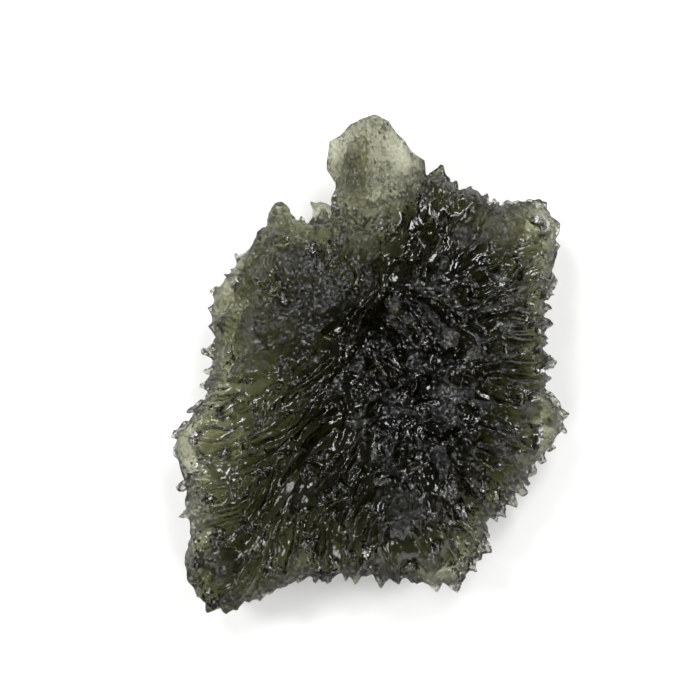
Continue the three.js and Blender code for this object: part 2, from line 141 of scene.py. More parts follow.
def soft_light(name, azimuth, elevation, power):
    """A square area light that looks at the stone from the given direction, in degrees."""
    around, above = math.radians(azimuth), math.radians(elevation)
    flat = math.cos(above)
    way = Vector((math.sin(around) * flat, math.cos(around) * flat, math.sin(above)))
    data = bpy.data.lights.new(name, "AREA")
    data.size = LIGHT_SIZE
    data.energy = power
    lamp = bpy.data.objects.new(name, data)
    lamp.location = way * LIGHT_DISTANCE
    lamp.rotation_euler = way.to_track_quat("Z", "Y").to_euler()
    bpy.context.scene.collection.objects.link(lamp)


for number, (azimuth, elevation, power) in enumerate(RING_OF_LIGHTS):
    soft_light(f"light_{number + 1}", azimuth, elevation, power)

world = bpy.data.worlds.new("studio")
world.use_nodes = True
world.node_tree.nodes["Background"].inputs["Color"].default_value = (1, 1, 1, 1)
world.node_tree.nodes["Background"].inputs["Strength"].default_value = WORLD_GLOW
bpy.context.scene.world = world
bpy.context.scene.view_settings.view_transform = "Standard"
print("lights:", len(RING_OF_LIGHTS))

# %% [markdown]
# ## The camera
# It hangs straight above the table. Its height follows from the photo's scale: how many
# millimetres of the stone's plane the picture is wide.

# %% Camera
PHOTO_PIXELS_PER_MM = 15.75
PHOTO_SIZE = 700  # pixels
PHOTO_CENTRE = (-1.30, 0.95)  # the point of the stone's plane that the photo's middle shows
LENS = 100
SENSOR = 36
NEAREST_SEEN = 0.001  # metres

camera_data = bpy.data.cameras.new("camera")
camera_data.lens = LENS
camera_data.sensor_width = SENSOR
camera_data.clip_start = NEAREST_SEEN
camera = bpy.data.objects.new("camera", camera_data)
seen_width = PHOTO_SIZE / PHOTO_PIXELS_PER_MM * MM
stone_middle = (cad_low.z + cad_high.z) / 2
camera_height = seen_width * LENS / SENSOR + stone_middle
camera.location = (PHOTO_CENTRE[0] * MM, PHOTO_CENTRE[1] * MM, camera_height)
bpy.context.scene.collection.objects.link(camera)
bpy.context.scene.camera = camera
print("camera", round(camera_height / MM, 1), "mm above the table")

# %% [markdown]
# ## Where things are
# The stone's outline, the tips of its rim's thorns and the way its ridges run are read off the
# photo. A natural thing follows no rule that would give them. They are the same few points as in
# the solid's own source, so what is dressed here lies where the solid is. Only what is too low
# or too fine for the solid is added: three hollows of the back that let more light through, the
# fine crests, the blunt lumps and the domes.

# %% Driving dimensions
REST_DEPTH = 2.9  # from the rim's middle level down to the table
FACE_DEPTH = 1.7
BACK_DEPTH = 2.1
BODY_MIDDLE = (0.2, -1.6)
FACE_THORN_PITCH = 2.5
FACE_THORN_RISE = 1.3
BACK_THORN_PITCH = 3.2
BACK_THORN_RISE = 0.95
THORN_LENGTHS = (2.2, 3.5)
THORN_HALF_WIDTHS = (0.8, 1.2)
RIM_THORN_LENGTH = 2.7
RIM_THORN_HALF_WIDTH = 0.55
RIM_THORN_HALF_HEIGHT = 0.5
print("thickness at the middle without swells:", FACE_DEPTH + BACK_DEPTH, "mm")

# %% The rim
# Where the rim lies between its thorns, anticlockwise from the right of the flake.
RIM_ROOTS = [
    (3.5, 11.2), (0.6, 10.5), (-1.6, 9.7), (-3.1, 9.1), (-4.5, 9.1), (-6.1, 9.8), (-6.8, 8.8),
    (-7.7, 7.7), (-8.5, 6.5), (-9.9, 4.8), (-10.1, 3.4), (-9.9, 1.8), (-10.1, 0.3), (-10.2, -1.1),
    (-10.6, -2.2), (-11.6, -3.4), (-12.5, -4.8), (-12.5, -5.9), (-12.0, -7.2), (-11.8, -8.9),
    (-11.5, -10.8), (-12.0, -12.5), (-11.6, -14.0), (-11.0, -15.1), (-10.1, -15.6), (-8.3, -15.0),
    (-6.4, -14.4), (-4.5, -13.8), (-2.6, -13.5), (-0.3, -13.5), (1.9, -13.7), (4.3, -14.1),
    (5.9, -13.8), (7.0, -11.9), (7.5, -10.0), (8.5, -8.8), (9.4, -7.5), (10.6, -6.4),
    (11.6, -5.2), (12.3, -4.1), (12.0, -3.0), (11.1, -1.6), (11.3, -0.3), (11.1, 1.0),
    (11.1, 2.2), (11.2, 4.0), (11.7, 5.7), (12.0, 8.3), (11.6, 10.2), (10.1, 10.3),
    (8.2, 10.2), (6.3, 10.7), (5.0, 11.1),
]

# The tips of the rim's thorns, clockwise from the flake: x, y and, where it isn't the usual
# one, the half width.
RIM_TIPS = [
    (4.4, 12.9, 0.8), (5.5, 11.9), (6.5, 11.5, 0.7), (7.5, 11.1, 0.6), (8.1, 10.7, 0.4),
    (9.8, 10.6, 0.9), (11.5, 10.5, 1.0), (12.3, 9.2, 0.9), (12.3, 7.9, 0.8), (12.2, 5.5, 0.9),
    (11.8, 4.4, 0.4), (11.8, 3.7), (11.9, 2.7), (11.5, 1.5), (12.0, 0.1, 0.7), (11.7, -1.0, 0.4),
    (11.5, -1.8, 0.35), (12.4, -2.5, 0.7), (12.8, -3.4, 0.8), (12.92, -4.3, 0.6),
    (12.1, -5.5, 0.4), (11.5, -6.3), (10.8, -7.1, 0.8), (10.2, -8.4), (9.6, -9.2),
    (8.3, -9.3, 0.4), (8.2, -10.2, 0.5), (7.7, -11.2, 0.4), (7.2, -12.7), (6.8, -13.5),
    (5.6, -14.6, 0.7), (4.3, -14.6, 0.7), (3.0, -14.1), (1.7, -14.3), (0.7, -14.4),
    (-1.0, -14.2), (-1.6, -14.0, 0.4), (-2.7, -14.2), (-3.6, -14.2), (-4.7, -14.2),
    (-5.6, -14.4), (-6.5, -14.8), (-8.0, -15.3, 0.8), (-9.5, -16.0, 0.7), (-10.5, -15.9, 0.8),
    (-12.1, -12.8, 1.1), (-12.3, -9.8, 0.5), (-12.0, -8.6, 0.6), (-12.5, -7.9),
    (-12.2, -6.8, 0.4), (-12.92, -5.7, 0.9), (-12.8, -4.6, 0.8), (-11.8, -3.0), (-11.1, -1.4),
    (-10.9, -0.5), (-10.9, 0.8, 0.65), (-10.5, 2.4, 0.6), (-10.5, 3.7, 0.7), (-10.4, 4.9, 0.5),
    (-9.0, 6.3, 0.5), (-8.7, 7.3, 0.6), (-7.3, 8.4, 0.6), (-6.2, 10.3, 0.6), (-5.6, 10.2, 0.6),
    (-4.5, 9.5, 0.4),
]
print("rim:", len(RIM_ROOTS), "roots and", len(RIM_TIPS), "tips")

# %% Swells, hollows and grain
# Swells and hollows of the face: x, y, radius, height.
FACE_SWELLS = [
    (4.4, -2.2, 6.5, 2.3), (6.6, 4.6, 5.0, 1.6), (1.5, -7.5, 5.0, 1.5), (-6.1, 1.0, 4.2, 1.2),
    (-5.4, 6.0, 3.2, 1.1), (-7.6, -5.6, 3.6, 0.8), (-9.6, -12.6, 3.0, 0.5), (-0.4, 8.8, 1.7, 1.3),
    (-1.4, 5.4, 2.2, 1.0), (2.6, 9.3, 1.7, -1.3), (1.2, 6.4, 1.8, -1.4), (-0.8, 3.3, 1.8, -1.3),
    (-2.8, 0.3, 1.7, -1.2), (-4.7, -3.2, 1.6, -0.9), (-6.8, -7.2, 1.5, -0.7),
]

# Hollows of the back, which leave the left lobe a thin wing: x, y, radius, depth. The last three
# aren't in the solid. They let light through the flake's root, the wing and the right rim.
BACK_HOLLOWS = [
    (-7.0, -3.0, 4.4, 1.2), (-6.6, 4.6, 3.6, 1.0), (-8.6, -11.0, 3.6, 0.9),
    (0.6, 9.2, 3.0, 1.5), (-4.2, 5.6, 2.6, 1.0), (9.8, 0.6, 2.6, 0.6),
]

# The way the ridges run, read at a few places: x, y, direction in degrees from +X, outwards.
GRAIN = [
    (-9.9, 4.1, 165), (-9.9, 1.0, 180), (-9.9, -2.2, 190), (-11.1, -5.4, 185), (-10.8, -7.9, 188),
    (-9.2, -9.8, 195), (-10.8, -12.4, 190), (-10.5, -15.5, 235), (-7.0, 0.3, 200),
    (-6.7, -3.5, 213), (-7.6, -5.7, 208), (-4.5, -2.2, 225), (-2.6, 1.0, 235), (-7.3, -8.6, 240),
    (-6.4, -12.4, 245), (-4.5, -11.1, 250), (-2.6, -13.0, 265), (-1.3, -7.3, 245),
    (0.6, -11.7, 262), (2.5, -13.0, 272), (4.4, -11.1, 290), (1.9, -8.6, 270), (4.4, -13.7, 280),
    (5.7, -8.6, 305), (7.0, -11.1, 310), (7.6, -7.3, 318), (8.2, -5.4, 333), (10.1, -6.7, 330),
    (10.8, -4.1, 345), (7.0, -2.2, 350), (9.5, -0.3, 0), (7.6, 1.6, 2), (10.8, 4.1, 5),
    (9.5, 6.7, 25), (11.4, 8.6, 30), (8.2, 9.2, 50), (7.0, 10.5, 75), (4.4, 11.1, 95),
    (4.4, 7.3, 60), (1.9, 2.2, 306), (3.1, -0.3, 300), (3.8, 2.2, 320), (-4.5, 6.0, 112),
    (-7.0, 7.3, 122), (-5.7, 9.5, 100), (-1.9, 7.3, 85), (-0.3, 10.2, 90), (-1.3, 4.1, 240),
    (0.6, 4.8, 250),
]
print("swells:", len(FACE_SWELLS), "back hollows:", len(BACK_HOLLOWS), "grain readings:", len(GRAIN))

# %% Ridges and crests
# Long ridges that stand out: start, middle and end of the crest, height.
LONG_RIDGES = [
    ((-2.4, 0.2), (-3.7, -0.9), (-5.2, -1.7), 0.8), ((-6.1, 1.1), (-7.5, 0.5), (-8.6, -0.6), 0.6),
    ((-4.5, -1.8), (-6.2, -3.8), (-8.3, -4.9), 1.0), ((-2.6, -1.3), (-4.7, -3.9), (-7.2, -5.3), 0.9),
    ((-5.1, -4.8), (-6.5, -5.9), (-8.3, -6.7), 0.8), ((-8.0, -8.6), (-9.4, -9.3), (-10.8, -9.5), 0.7),
    ((-8.1, -9.4), (-9.5, -10.0), (-10.8, -10.3), 0.7), ((-6.9, -7.3), (-7.4, -8.4), (-8.1, -9.3), 0.8),
    ((-6.1, -6.7), (-6.4, -8.2), (-7.3, -9.8), 0.8), ((-8.5, -7.6), (-9.6, -7.9), (-10.5, -7.9), 0.6),
    ((-7.3, 5.2), (-6.3, 4.6), (-5.1, 4.1), 0.6), ((-1.6, 7.9), (-1.9, 7.0), (-2.4, 6.0), 0.7),
    ((-1.6, -5.4), (-2.6, -7.0), (-3.7, -8.3), 0.9), ((-1.6, -8.3), (-3.0, -9.3), (-4.0, -10.8), 0.9),
    ((-0.7, -6.7), (-1.4, -8.3), (-1.9, -9.8), 0.9), ((1.4, -4.1), (1.2, -5.7), (0.2, -6.8), 1.0),
    ((-5.7, -9.8), (-6.2, -11.0), (-6.9, -12.4), 0.9), ((-4.5, -9.8), (-4.9, -11.4), (-5.4, -13.0), 0.9),
    ((-2.6, -9.8), (-2.8, -11.3), (-3.1, -12.7), 0.9), ((0.6, -8.6), (0.2, -10.0), (-0.3, -11.4), 0.9),
    ((0.1, -11.4), (-0.3, -12.4), (-0.8, -13.3), 0.8), ((-7.0, -13.2), (-8.2, -14.5), (-9.4, -15.6), 0.8),
    ((2.1, 3.8), (3.4, 2.4), (4.2, 0.8), 1.1), ((3.0, 4.3), (4.4, 4.0), (5.4, 3.0), 0.9),
    ((5.6, 3.0), (6.0, 2.0), (6.6, 1.3), 0.9), ((5.7, 3.4), (8.0, 4.6), (10.1, 7.0), 1.0),
    ((7.0, 2.5), (8.9, 2.7), (10.8, 2.7), 1.0), ((6.6, 1.6), (8.8, 1.7), (11.1, 1.6), 0.9),
    ((6.3, 0.0), (8.8, 0.2), (11.4, 0.2), 1.0), ((6.6, -0.8), (8.9, -0.9), (11.1, -1.0), 0.9),
    ((6.8, -3.8), (8.9, -4.6), (10.4, -5.4), 0.9), ((5.8, -4.8), (7.1, -5.4), (8.5, -6.3), 0.9),
    ((5.8, -6.7), (6.3, -7.5), (7.0, -8.3), 0.9), ((7.3, -6.3), (8.2, -7.0), (9.0, -7.9), 0.9),
    ((4.4, -8.6), (4.9, -9.2), (5.2, -9.8), 0.8), ((2.0, -7.3), (2.3, -7.9), (2.4, -8.9), 0.8),
    ((2.9, -2.6), (4.4, -2.0), (5.6, -2.3), 0.9), ((0.0, 1.6), (0.7, 0.4), (1.9, -0.6), 0.9),
]

# Thin crests between the long ridges that catch the light: start, middle and end.
FINE_CRESTS = [
    ((-6.6, 9.2), (-7.4, 7.2), (-8.3, 4.6)), ((1.5, 4.3), (2.6, 3.5), (3.6, 1.8)),
    ((4.7, 4.3), (5.0, 4.8), (5.9, 5.0)), ((4.9, 3.3), (5.4, 2.5), (6.1, 1.8)),
    ((5.9, 2.8), (7.4, 3.4), (8.7, 3.8)), ((-0.3, 1.1), (0.4, 0.3), (0.9, -0.6)),
    ((3.2, 1.6), (3.7, 0.8), (3.9, -0.2)), ((4.0, 1.8), (4.9, 1.1), (5.4, 0.4)),
    ((6.6, 5.8), (7.7, 6.0), (8.7, 7.1)), ((-4.1, -6.4), (-2.6, -6.9), (-1.6, -5.9)),
    ((-1.6, -5.9), (-0.8, -4.9), (-0.2, -3.7)), ((-4.7, -4.8), (-3.8, -3.7), (-2.5, -2.7)),
    ((-1.4, -8.9), (-1.1, -7.9), (-0.5, -7.0)), ((-3.6, -10.2), (-2.9, -9.2), (-1.9, -8.3)),
    ((-8.8, -14.7), (-7.7, -13.6), (-7.3, -12.7)), ((-11.0, -14.6), (-10.9, -12.9), (-11.4, -11.2)),
    ((2.4, 0.4), (2.9, -0.8), (2.7, -2.0)), ((0.6, 3.0), (1.6, 2.2), (2.2, 1.0)),
    ((1.2, -1.4), (0.4, -2.6), (0.2, -4.0)), ((3.6, -4.4), (4.6, -4.6), (5.6, -4.2)),
]
print("long ridges:", len(LONG_RIDGES), "fine crests:", len(FINE_CRESTS))

# %% The flake and the lumps
# The thin clear flake at the top, the rib that thickens its left half and the tooth beside it.
FLAKE_OUTLINE = [
    (-1.7, 10.2), (-0.7, 8.9), (1.9, 8.9), (3.9, 10.5), (3.6, 12.0), (3.5, 13.1), (2.7, 13.6),
    (2.2, 14.4), (1.6, 14.9), (1.2, 15.6), (0.3, 16.03), (-0.5, 15.8), (-1.3, 15.4), (-1.9, 14.7),
    (-2.6, 14.3), (-2.8, 12.9), (-2.8, 12.5), (-2.1, 11.4),
]
FLAKE_RIB_OUTLINE = [
    (-1.8, 10.2), (-1.5, 8.9), (-0.7, 8.9), (-0.3, 10.5), (-0.3, 13.0), (-0.1, 14.4),
    (-0.6, 14.7), (-1.3, 14.2), (-1.8, 13.0), (-2.0, 11.6),
]
TOOTH_OUTLINE = [
    (-4.0, 8.9), (-2.3, 8.4), (-2.4, 10.0), (-2.8, 10.5), (-3.3, 10.4), (-3.8, 10.5), (-3.7, 9.5),
]

# Lumps of the back that the stone lies on: x, y and the way that they are long, in degrees.
WORN_LUMPS = [(-3.6, -7.8, 240), (6.0, -5.6, 320), (5.4, 4.8, 40), (-3.2, 4.2, 150)]
WORN_LUMP_RADIUS = 1.1
WORN_LUMP_FLARE = 1.2
WORN_LUMP_STRETCH = (1.5, 0.85)

# Blunt lumps of the rim and of the flake's root: centre, then half sizes along x, y and z.
BLUNT_LUMPS = [
    ((-5.8, 9.2, 0.3), (0.8, 1.2, 0.8)), ((0.0, 9.7, 0.9), (0.6, 1.0, 0.7)),
    ((4.4, 10.9, 0.0), (1.0, 1.3, 1.5)), ((6.0, 10.4, 0.0), (1.3, 0.9, 1.5)),
    ((-1.0, 7.4, 1.6), (0.7, 1.3, 0.7)), ((-0.4, 8.6, 1.4), (0.8, 1.0, 0.7)),
]
print("lumps:", len(WORN_LUMPS) + len(BLUNT_LUMPS))

# %% Dark, pale and round places
# Places where the glass's tint is made darker, and then where the glass is thinner and its tint
# is painted lighter, as painted light for what shines through it: x, y, radius.
DARK_SPOTS = [
    (4.6, 11.6, 1.1), (6.3, 10.9, 1.0), (-1.2, 13.2, 0.6), (-1.1, 11.9, 0.7), (-1.0, 10.6, 0.8),
    (3.4, 9.0, 1.2), (-4.8, 1.6, 1.0), (-10.6, -13.8, 1.8), (-7.4, 7.4, 0.7), (-8.0, 5.6, 0.7),
]
PALE_SPOTS = [
    (-12.2, -4.6, 1.4), (11.6, -3.6, 1.8), (11.3, 8.9, 1.4), (4.6, -13.9, 1.0), (-3.3, 10.2, 0.8),
    (-2.3, 13.9, 0.8), (2.0, 13.6, 0.9), (-8.1, 7.3, 0.5), (-9.1, 5.0, 0.8), (0.0, 9.8, 0.7),
]

# Rounded domes of the face that the etching spared, with a finely frosted skin: x, y, radius.
DOMES = [
    (-4.4, 6.2, 1.0), (-5.9, 3.2, 1.1), (-2.3, 4.1, 1.3), (-4.1, 4.3, 0.6), (-0.6, 8.4, 0.9),
    (1.8, -9.3, 1.4), (-7.0, 0.6, 0.9), (8.0, 8.6, 1.0), (5.9, 8.2, 0.9), (-9.6, -12.6, 1.3),
]
# The glossy knob at the wing's top corner, and the flat frosted facet along the rim below it:
# start, middle and end.
GLOSSY_KNOBS = [(-5.8, 9.8, 0.9)]
FLAT_BAND = [((-6.3, 9.2), (-7.4, 6.9), (-8.3, 4.2))]
print("dark, pale and round places:", len(DARK_SPOTS) + len(PALE_SPOTS) + len(DOMES))

# %% [markdown]
# ## The body
# Under its thorns the stone is a lens with a sharp rim: thick and domed on the right, thin on
# the left, with a gully between. Height functions give the face and the back at any point, as
# arrays, because the etching further on asks for them at a hundred thousand points.

# %% Height of the face and the back
around_rim = np.array(RIM_ROOTS) - BODY_MIDDLE
rim_order = np.argsort(np.arctan2(around_rim[:, 1], around_rim[:, 0]))
rim_angles = np.arctan2(around_rim[:, 1], around_rim[:, 0])[rim_order]
rim_radii = np.hypot(around_rim[:, 0], around_rim[:, 1])[rim_order]


def rim_radius(angle):
    return np.interp(angle, rim_angles, rim_radii, period=2 * np.pi)


def outwards(x, y):
    """0 at the middle of the body, 1 on its rim."""
    dx, dy = x - BODY_MIDDLE[0], y - BODY_MIDDLE[1]
    return np.hypot(dx, dy) / rim_radius(np.arctan2(dy, dx))


def rim_level(x, y):
    return 0.3 * np.sin(0.31 * x + 0.9) + 0.25 * np.cos(0.27 * y - 0.5)


def dome(share, power):
    return np.sqrt(np.maximum(0, 1 - share**power))


def swell(swells, x, y):
    """The summed height of round swells at a point."""
    return sum(h * np.exp(-((x - sx) ** 2 + (y - sy) ** 2) / r**2) for sx, sy, r, h in swells)


def face_height(x, y):
    return rim_level(x, y) + dome(outwards(x, y), 3) * (FACE_DEPTH + swell(FACE_SWELLS, x, y))


def back_height(x, y):
    share = outwards(x, y)
    depth = BACK_DEPTH - swell(BACK_HOLLOWS, x, y)
    return rim_level(x, y) * np.minimum(share, 1) ** 3 - dome(share, 6) * depth


def surface_normal(height, x, y, side):
    step = 0.05
    slope_x = (height(x + step, y) - height(x - step, y)) / (2 * step)
    slope_y = (height(x, y + step) - height(x, y - step)) / (2 * step)
    return Vector((-slope_x * side, -slope_y * side, side)).normalized()


def grain(x, y):
    """The direction of the ridges, in radians, from the readings near each point."""
    east, north = 0, 0
    for gx, gy, degrees in GRAIN:
        weight = 1 / ((x - gx) ** 2 + (y - gy) ** 2 + 0.3) ** 1.5
        east = east + weight * math.cos(math.radians(degrees))
        north = north + weight * math.sin(math.radians(degrees))
    return np.arctan2(north, east)


# %% Body mesh
BODY_COLUMNS = 180
BODY_SHARES = np.sin(np.linspace(0.04, 1, 40) * np.pi / 2)  # rings crowd towards the rim


def new_object(name, vertices, faces, edges=()):
    mesh = bpy.data.meshes.new(name)
    mesh.from_pydata([tuple(v) for v in vertices], list(edges), faces)
    made = bpy.data.objects.new(name, mesh)
    bpy.context.scene.collection.objects.link(made)
    return made


def body_mesh():
    angles = -np.pi + (np.arange(BODY_COLUMNS) + 0.5) / BODY_COLUMNS * 2 * np.pi
    rings = [(share, face_height) for share in BODY_SHARES]
    rings += [(share, back_height) for share in BODY_SHARES[-2::-1]]
    points = [(*BODY_MIDDLE, float(face_height(*BODY_MIDDLE)))]
    for share, height in rings:
        x = BODY_MIDDLE[0] + share * rim_radius(angles) * np.cos(angles)
        y = BODY_MIDDLE[1] + share * rim_radius(angles) * np.sin(angles)
        points += zip(x, y, height(x, y))
    points.append((*BODY_MIDDLE, float(back_height(*BODY_MIDDLE))))
    faces = []
    last = len(points) - 1
    for i in range(BODY_COLUMNS):
        n = (i + 1) % BODY_COLUMNS
        faces.append((0, 1 + i, 1 + n))
        for r in range(len(rings) - 1):
            a, b = 1 + r * BODY_COLUMNS, 1 + (r + 1) * BODY_COLUMNS
            faces.append((a + i, b + i, b + n, a + n))
        a = 1 + (len(rings) - 1) * BODY_COLUMNS
        faces.append((a + i, last, a + n))
    return new_object("body_core", points, faces)


body = body_mesh()
print("body core:", len(body.data.polygons), "faces")

# %% [markdown]
# ## Where the thorns stand
# The solid's thorns stand on a shaken grid. The same small random number maker, with the same
# seed and the same order of draws, gives every thorn its place again. Each one becomes a point
# that carries its turn, its size and which of the forms it takes.

# %% Thorn places
GRID_HALF_LENGTH, GRID_HALF_WIDTH = 16, 13
ROW_SPACING = 0.87  # of the pitch, as in a honeycomb
PLACE_SHAKE = 0.28  # of the pitch
TURN_SHAKE = 0.35  # radians
LEAST_RISE = 0.55  # of the tallest thorn
FACE_EDGE, BACK_EDGE = 0.93, 0.9  # where the last thorns stand: the rim is at 1
TIP_SHAKE = 0.3  # up and down
# A small tooth stands over or under the middle of each narrow gap between two of the rim's.
NARROW_GAP, GAP_TOOTH_LEVEL, GAP_TOOTH_SETBACK = 2.5, 0.75, 0.7
random_state = 20263


def random():
    global random_state
    random_state = (random_state * 1664525 + 1013904223) % 4294967296
    return random_state / 4294967296


def between(low, high):
    return low + (high - low) * random()


BLADE_FORMS = 3  # forms 0 to 2 are blades for the face and the back, 3 is the rim's spine
places = []


def place_thorn(position, along, across, up, size, form):
    turn = Matrix((along, across, up)).transposed().to_euler()
    places.append((tuple(position), tuple(turn), size, form))


def place_rim_thorns():
    def place(x, y, level, half_width, shorter):
        direction = float(grain(x, y))
        along = Vector((math.cos(direction), math.sin(direction), 0))
        across = Vector((-along.y, along.x, 0))
        tip = Vector((x, y, level)) - along * shorter
        size = (RIM_THORN_LENGTH, half_width, RIM_THORN_HALF_HEIGHT)
        place_thorn(tip, along, across, Vector((0, 0, 1)), size, BLADE_FORMS)

    for i, (x, y, *own) in enumerate(RIM_TIPS):
        level = float(rim_level(x, y))
        own_width = (own or [RIM_THORN_HALF_WIDTH])[0]
        place(x, y, level + between(-TIP_SHAKE, TIP_SHAKE), own_width, 0)
        next_x, next_y = RIM_TIPS[(i + 1) % len(RIM_TIPS)][:2]
        above = GAP_TOOTH_LEVEL if i % 2 else -GAP_TOOTH_LEVEL
        if math.hypot(next_x - x, next_y - y) < NARROW_GAP:
            middle = ((x + next_x) / 2, (y + next_y) / 2)
            place(*middle, level + above, RIM_THORN_HALF_WIDTH, GAP_TOOTH_SETBACK)


def place_surface_thorns(height, side, pitch, edge, tallest):
    rows = math.ceil(GRID_HALF_LENGTH / (ROW_SPACING * pitch))
    columns = math.ceil(GRID_HALF_WIDTH / pitch)
    for row in range(-rows, rows + 1):
        for column in range(-columns, columns + 1):
            stagger = 0.5 if row % 2 else 0
            x = (column + stagger) * pitch + between(-PLACE_SHAKE, PLACE_SHAKE) * pitch
            y = row * ROW_SPACING * pitch + between(-PLACE_SHAKE, PLACE_SHAKE) * pitch
            direction = float(grain(x, y)) + between(-TURN_SHAKE, TURN_SHAKE)
            length, half_width = between(*THORN_LENGTHS), between(*THORN_HALF_WIDTHS)
            rise = between(LEAST_RISE, 1) * tallest
            if outwards(x, y) >= edge:
                continue
            up = surface_normal(height, x, y, side)
            along = Vector((math.cos(direction), math.sin(direction), 0))
            along = (along - up * along.dot(up)).normalized()
            foot = (x, y, float(height(x, y)))
            size = (length, half_width, rise)
            place_thorn(foot, along, up.cross(along), up, size, len(places) % BLADE_FORMS)


place_rim_thorns()
place_surface_thorns(face_height, 1, FACE_THORN_PITCH, FACE_EDGE, FACE_THORN_RISE)
place_surface_thorns(back_height, -1, BACK_THORN_PITCH, BACK_EDGE, BACK_THORN_RISE)
print("thorns placed:", len(places))

# %% [markdown]
# ## The forms of a thorn
# Etched glass has hollow flanks that meet in a knife edge, never flat ones. So a blade's section
# is drawn with a broad foot that sweeps up, concave, to a thin crest. It leans outwards and
# ends in a tip, and it bends a little to one side, as most of the real ones do. Each form is one
# unit long, wide and high, because each point stretches it to its own size.

# %% Blade and spine forms
BLADE_PROFILE = [(1, 0), (0.46, 0.26), (0.14, 0.7), (0, 1), (-0.14, 0.7), (-0.46, 0.26), (-1, 0)]
SPINE_PROFILE = [(1, 0), (0.5, 0.42), (0, 1), (-0.5, 0.42), (-1, 0), (-0.5, -0.42), (0, -1), (0.5, -0.42)]
FOOT_SINK, KEEL_SINK = -0.28, -0.7

forms = bpy.data.collections.new("thorn_forms")


def thorn_form(name, heel, sections, tip):
    """Closes rings of points between a heel and a tip."""
    count = len(sections[0])
    points = [heel, *(p for ring in sections for p in ring), tip]
    last = len(points) - 1
    faces = []
    for k in range(count):
        n = (k + 1) % count
        faces.append((0, 1 + n, 1 + k))
        for s in range(len(sections) - 1):
            a, b = 1 + s * count, 1 + (s + 1) * count
            faces.append((a + k, a + n, b + n, b + k))
        faces.append((last, last - count + k, last - count + n))
    made = new_object(name, points, faces)
    bpy.context.scene.collection.objects.unlink(made)
    forms.objects.link(made)


def blade_form(name, bend):
    sections = []
    for share in (0.15, 0.35, 0.55, 0.75, 0.9):
        x = -0.5 + 1.05 * share
        aside = bend * (share - 0.3) ** 2
        width = math.sin(math.pi * min(1, share * 0.78 + 0.1)) ** 0.8
        crest = -0.15 + 1.15 * share**0.85
        foot = FOOT_SINK + (1 - FOOT_SINK) * share**4 * 0.8
        ring = [(x, aside + w * width, foot + (crest - foot) * z) for w, z in BLADE_PROFILE]
        ring.append((x, aside, KEEL_SINK + (1 - KEEL_SINK) * share**5 * 0.85))
        sections.append(ring)
    thorn_form(name, (-0.5, bend * 0.09, -0.15), sections, (0.55, bend * 0.49, 1.0))


def spine_form(name):
    sections = []
    for back, width in ((0.95, 0.5), (0.6, 1.05), (0.32, 1.0), (0.17, 0.62), (0.06, 0.32)):
        sections.append([(-back, w * width, z * width) for w, z in SPINE_PROFILE])
    thorn_form(name, (-1, 0, 0), sections, (0, 0, 0))


for index, bend in enumerate((-0.9, 0.15, 0.9)):
    blade_form(f"form_{index}_blade", bend)
spine_form("form_3_spine")

# %% [markdown]
# ## Thorns by Geometry Nodes
# Instancing suits what repeats: the tree puts one of the forms on each point, with the point's
# own turn and size, and then makes the instances real, because only real faces can be fused.

# %% Thorn tree
def new_tree(name, source, source_kind):
    """An empty geometry tree with its named inputs and a geometry output."""
    tree = bpy.data.node_groups.new(name, "GeometryNodeTree")
    inputs = {"Geometry": "Geometry", source: source_kind, "Rise": "Float", "Material": "Material"}
    for label, kind in inputs.items():
        tree.interface.new_socket(label, in_out="INPUT", socket_type=f"NodeSocket{kind}")
    tree.interface.new_socket("Geometry", in_out="OUTPUT", socket_type="NodeSocketGeometry")
    return tree, tree.nodes.new("NodeGroupInput"), tree.nodes.new("NodeGroupOutput")


def stored(tree, name, kind):
    """The value that each point carries under this name."""
    node = add(tree, "GeometryNodeInputNamedAttribute", {"Name": name}, data_type=kind)
    return node.outputs["Attribute"]


def end_tree(tree, given, result, geometry):
    """Makes the instances real and gives them the material."""
    real = add(tree, "GeometryNodeRealizeInstances", {"Geometry": geometry})
    painted = add(
        tree, "GeometryNodeSetMaterial",
        {"Geometry": real.outputs["Geometry"], "Material": given.outputs["Material"]},
    )
    tree.links.new(painted.outputs["Geometry"], result.inputs["Geometry"])
    return tree


def make_plain(piece):
    """Keeps what the piece's modifiers make as its own plain mesh, and takes them off."""
    evaluated = piece.evaluated_get(bpy.context.evaluated_depsgraph_get())
    mesh = bpy.data.meshes.new_from_object(evaluated)
    piece.modifiers.clear()
    piece.data = mesh


def run_tree(piece, tree, values):
    """Runs the tree on the piece with its inputs set by identifier."""
    modifier = piece.modifiers.new(tree.name, "NODES")
    modifier.node_group = tree
    for item in tree.interface.items_tree:
        if item.in_out == "INPUT" and item.name in values:
            modifier[item.identifier] = values[item.name]
    make_plain(piece)


def thorn_tree():
    tree, given, result = new_tree("thorns_on_points", "Forms", "Collection")
    turn = stored(tree, "turn", "FLOAT_VECTOR")
    rotation = add(tree, "FunctionNodeEulerToRotation", {"Euler": turn})
    stretch = add(tree, "ShaderNodeCombineXYZ", {"X": 1.0, "Y": 1.0, "Z": given.outputs["Rise"]})
    size = stored(tree, "size", "FLOAT_VECTOR")
    scale = add(
        tree, "ShaderNodeVectorMath", {0: size, 1: stretch.outputs["Vector"]},
        operation="MULTIPLY",
    )
    shapes = add(
        tree, "GeometryNodeCollectionInfo",
        {"Collection": given.outputs["Forms"], "Separate Children": True, "Reset Children": True},
    )
    points = add(tree, "GeometryNodeMeshToPoints", {"Mesh": given.outputs["Geometry"]})
    standing = add(
        tree, "GeometryNodeInstanceOnPoints",
        {"Points": points.outputs["Points"], "Instance": shapes.outputs["Instances"],
         "Pick Instance": True, "Instance Index": stored(tree, "form", "INT"),
         "Rotation": rotation.outputs["Rotation"], "Scale": scale.outputs["Vector"]},
    )
    return end_tree(tree, given, result, standing.outputs["Instances"])


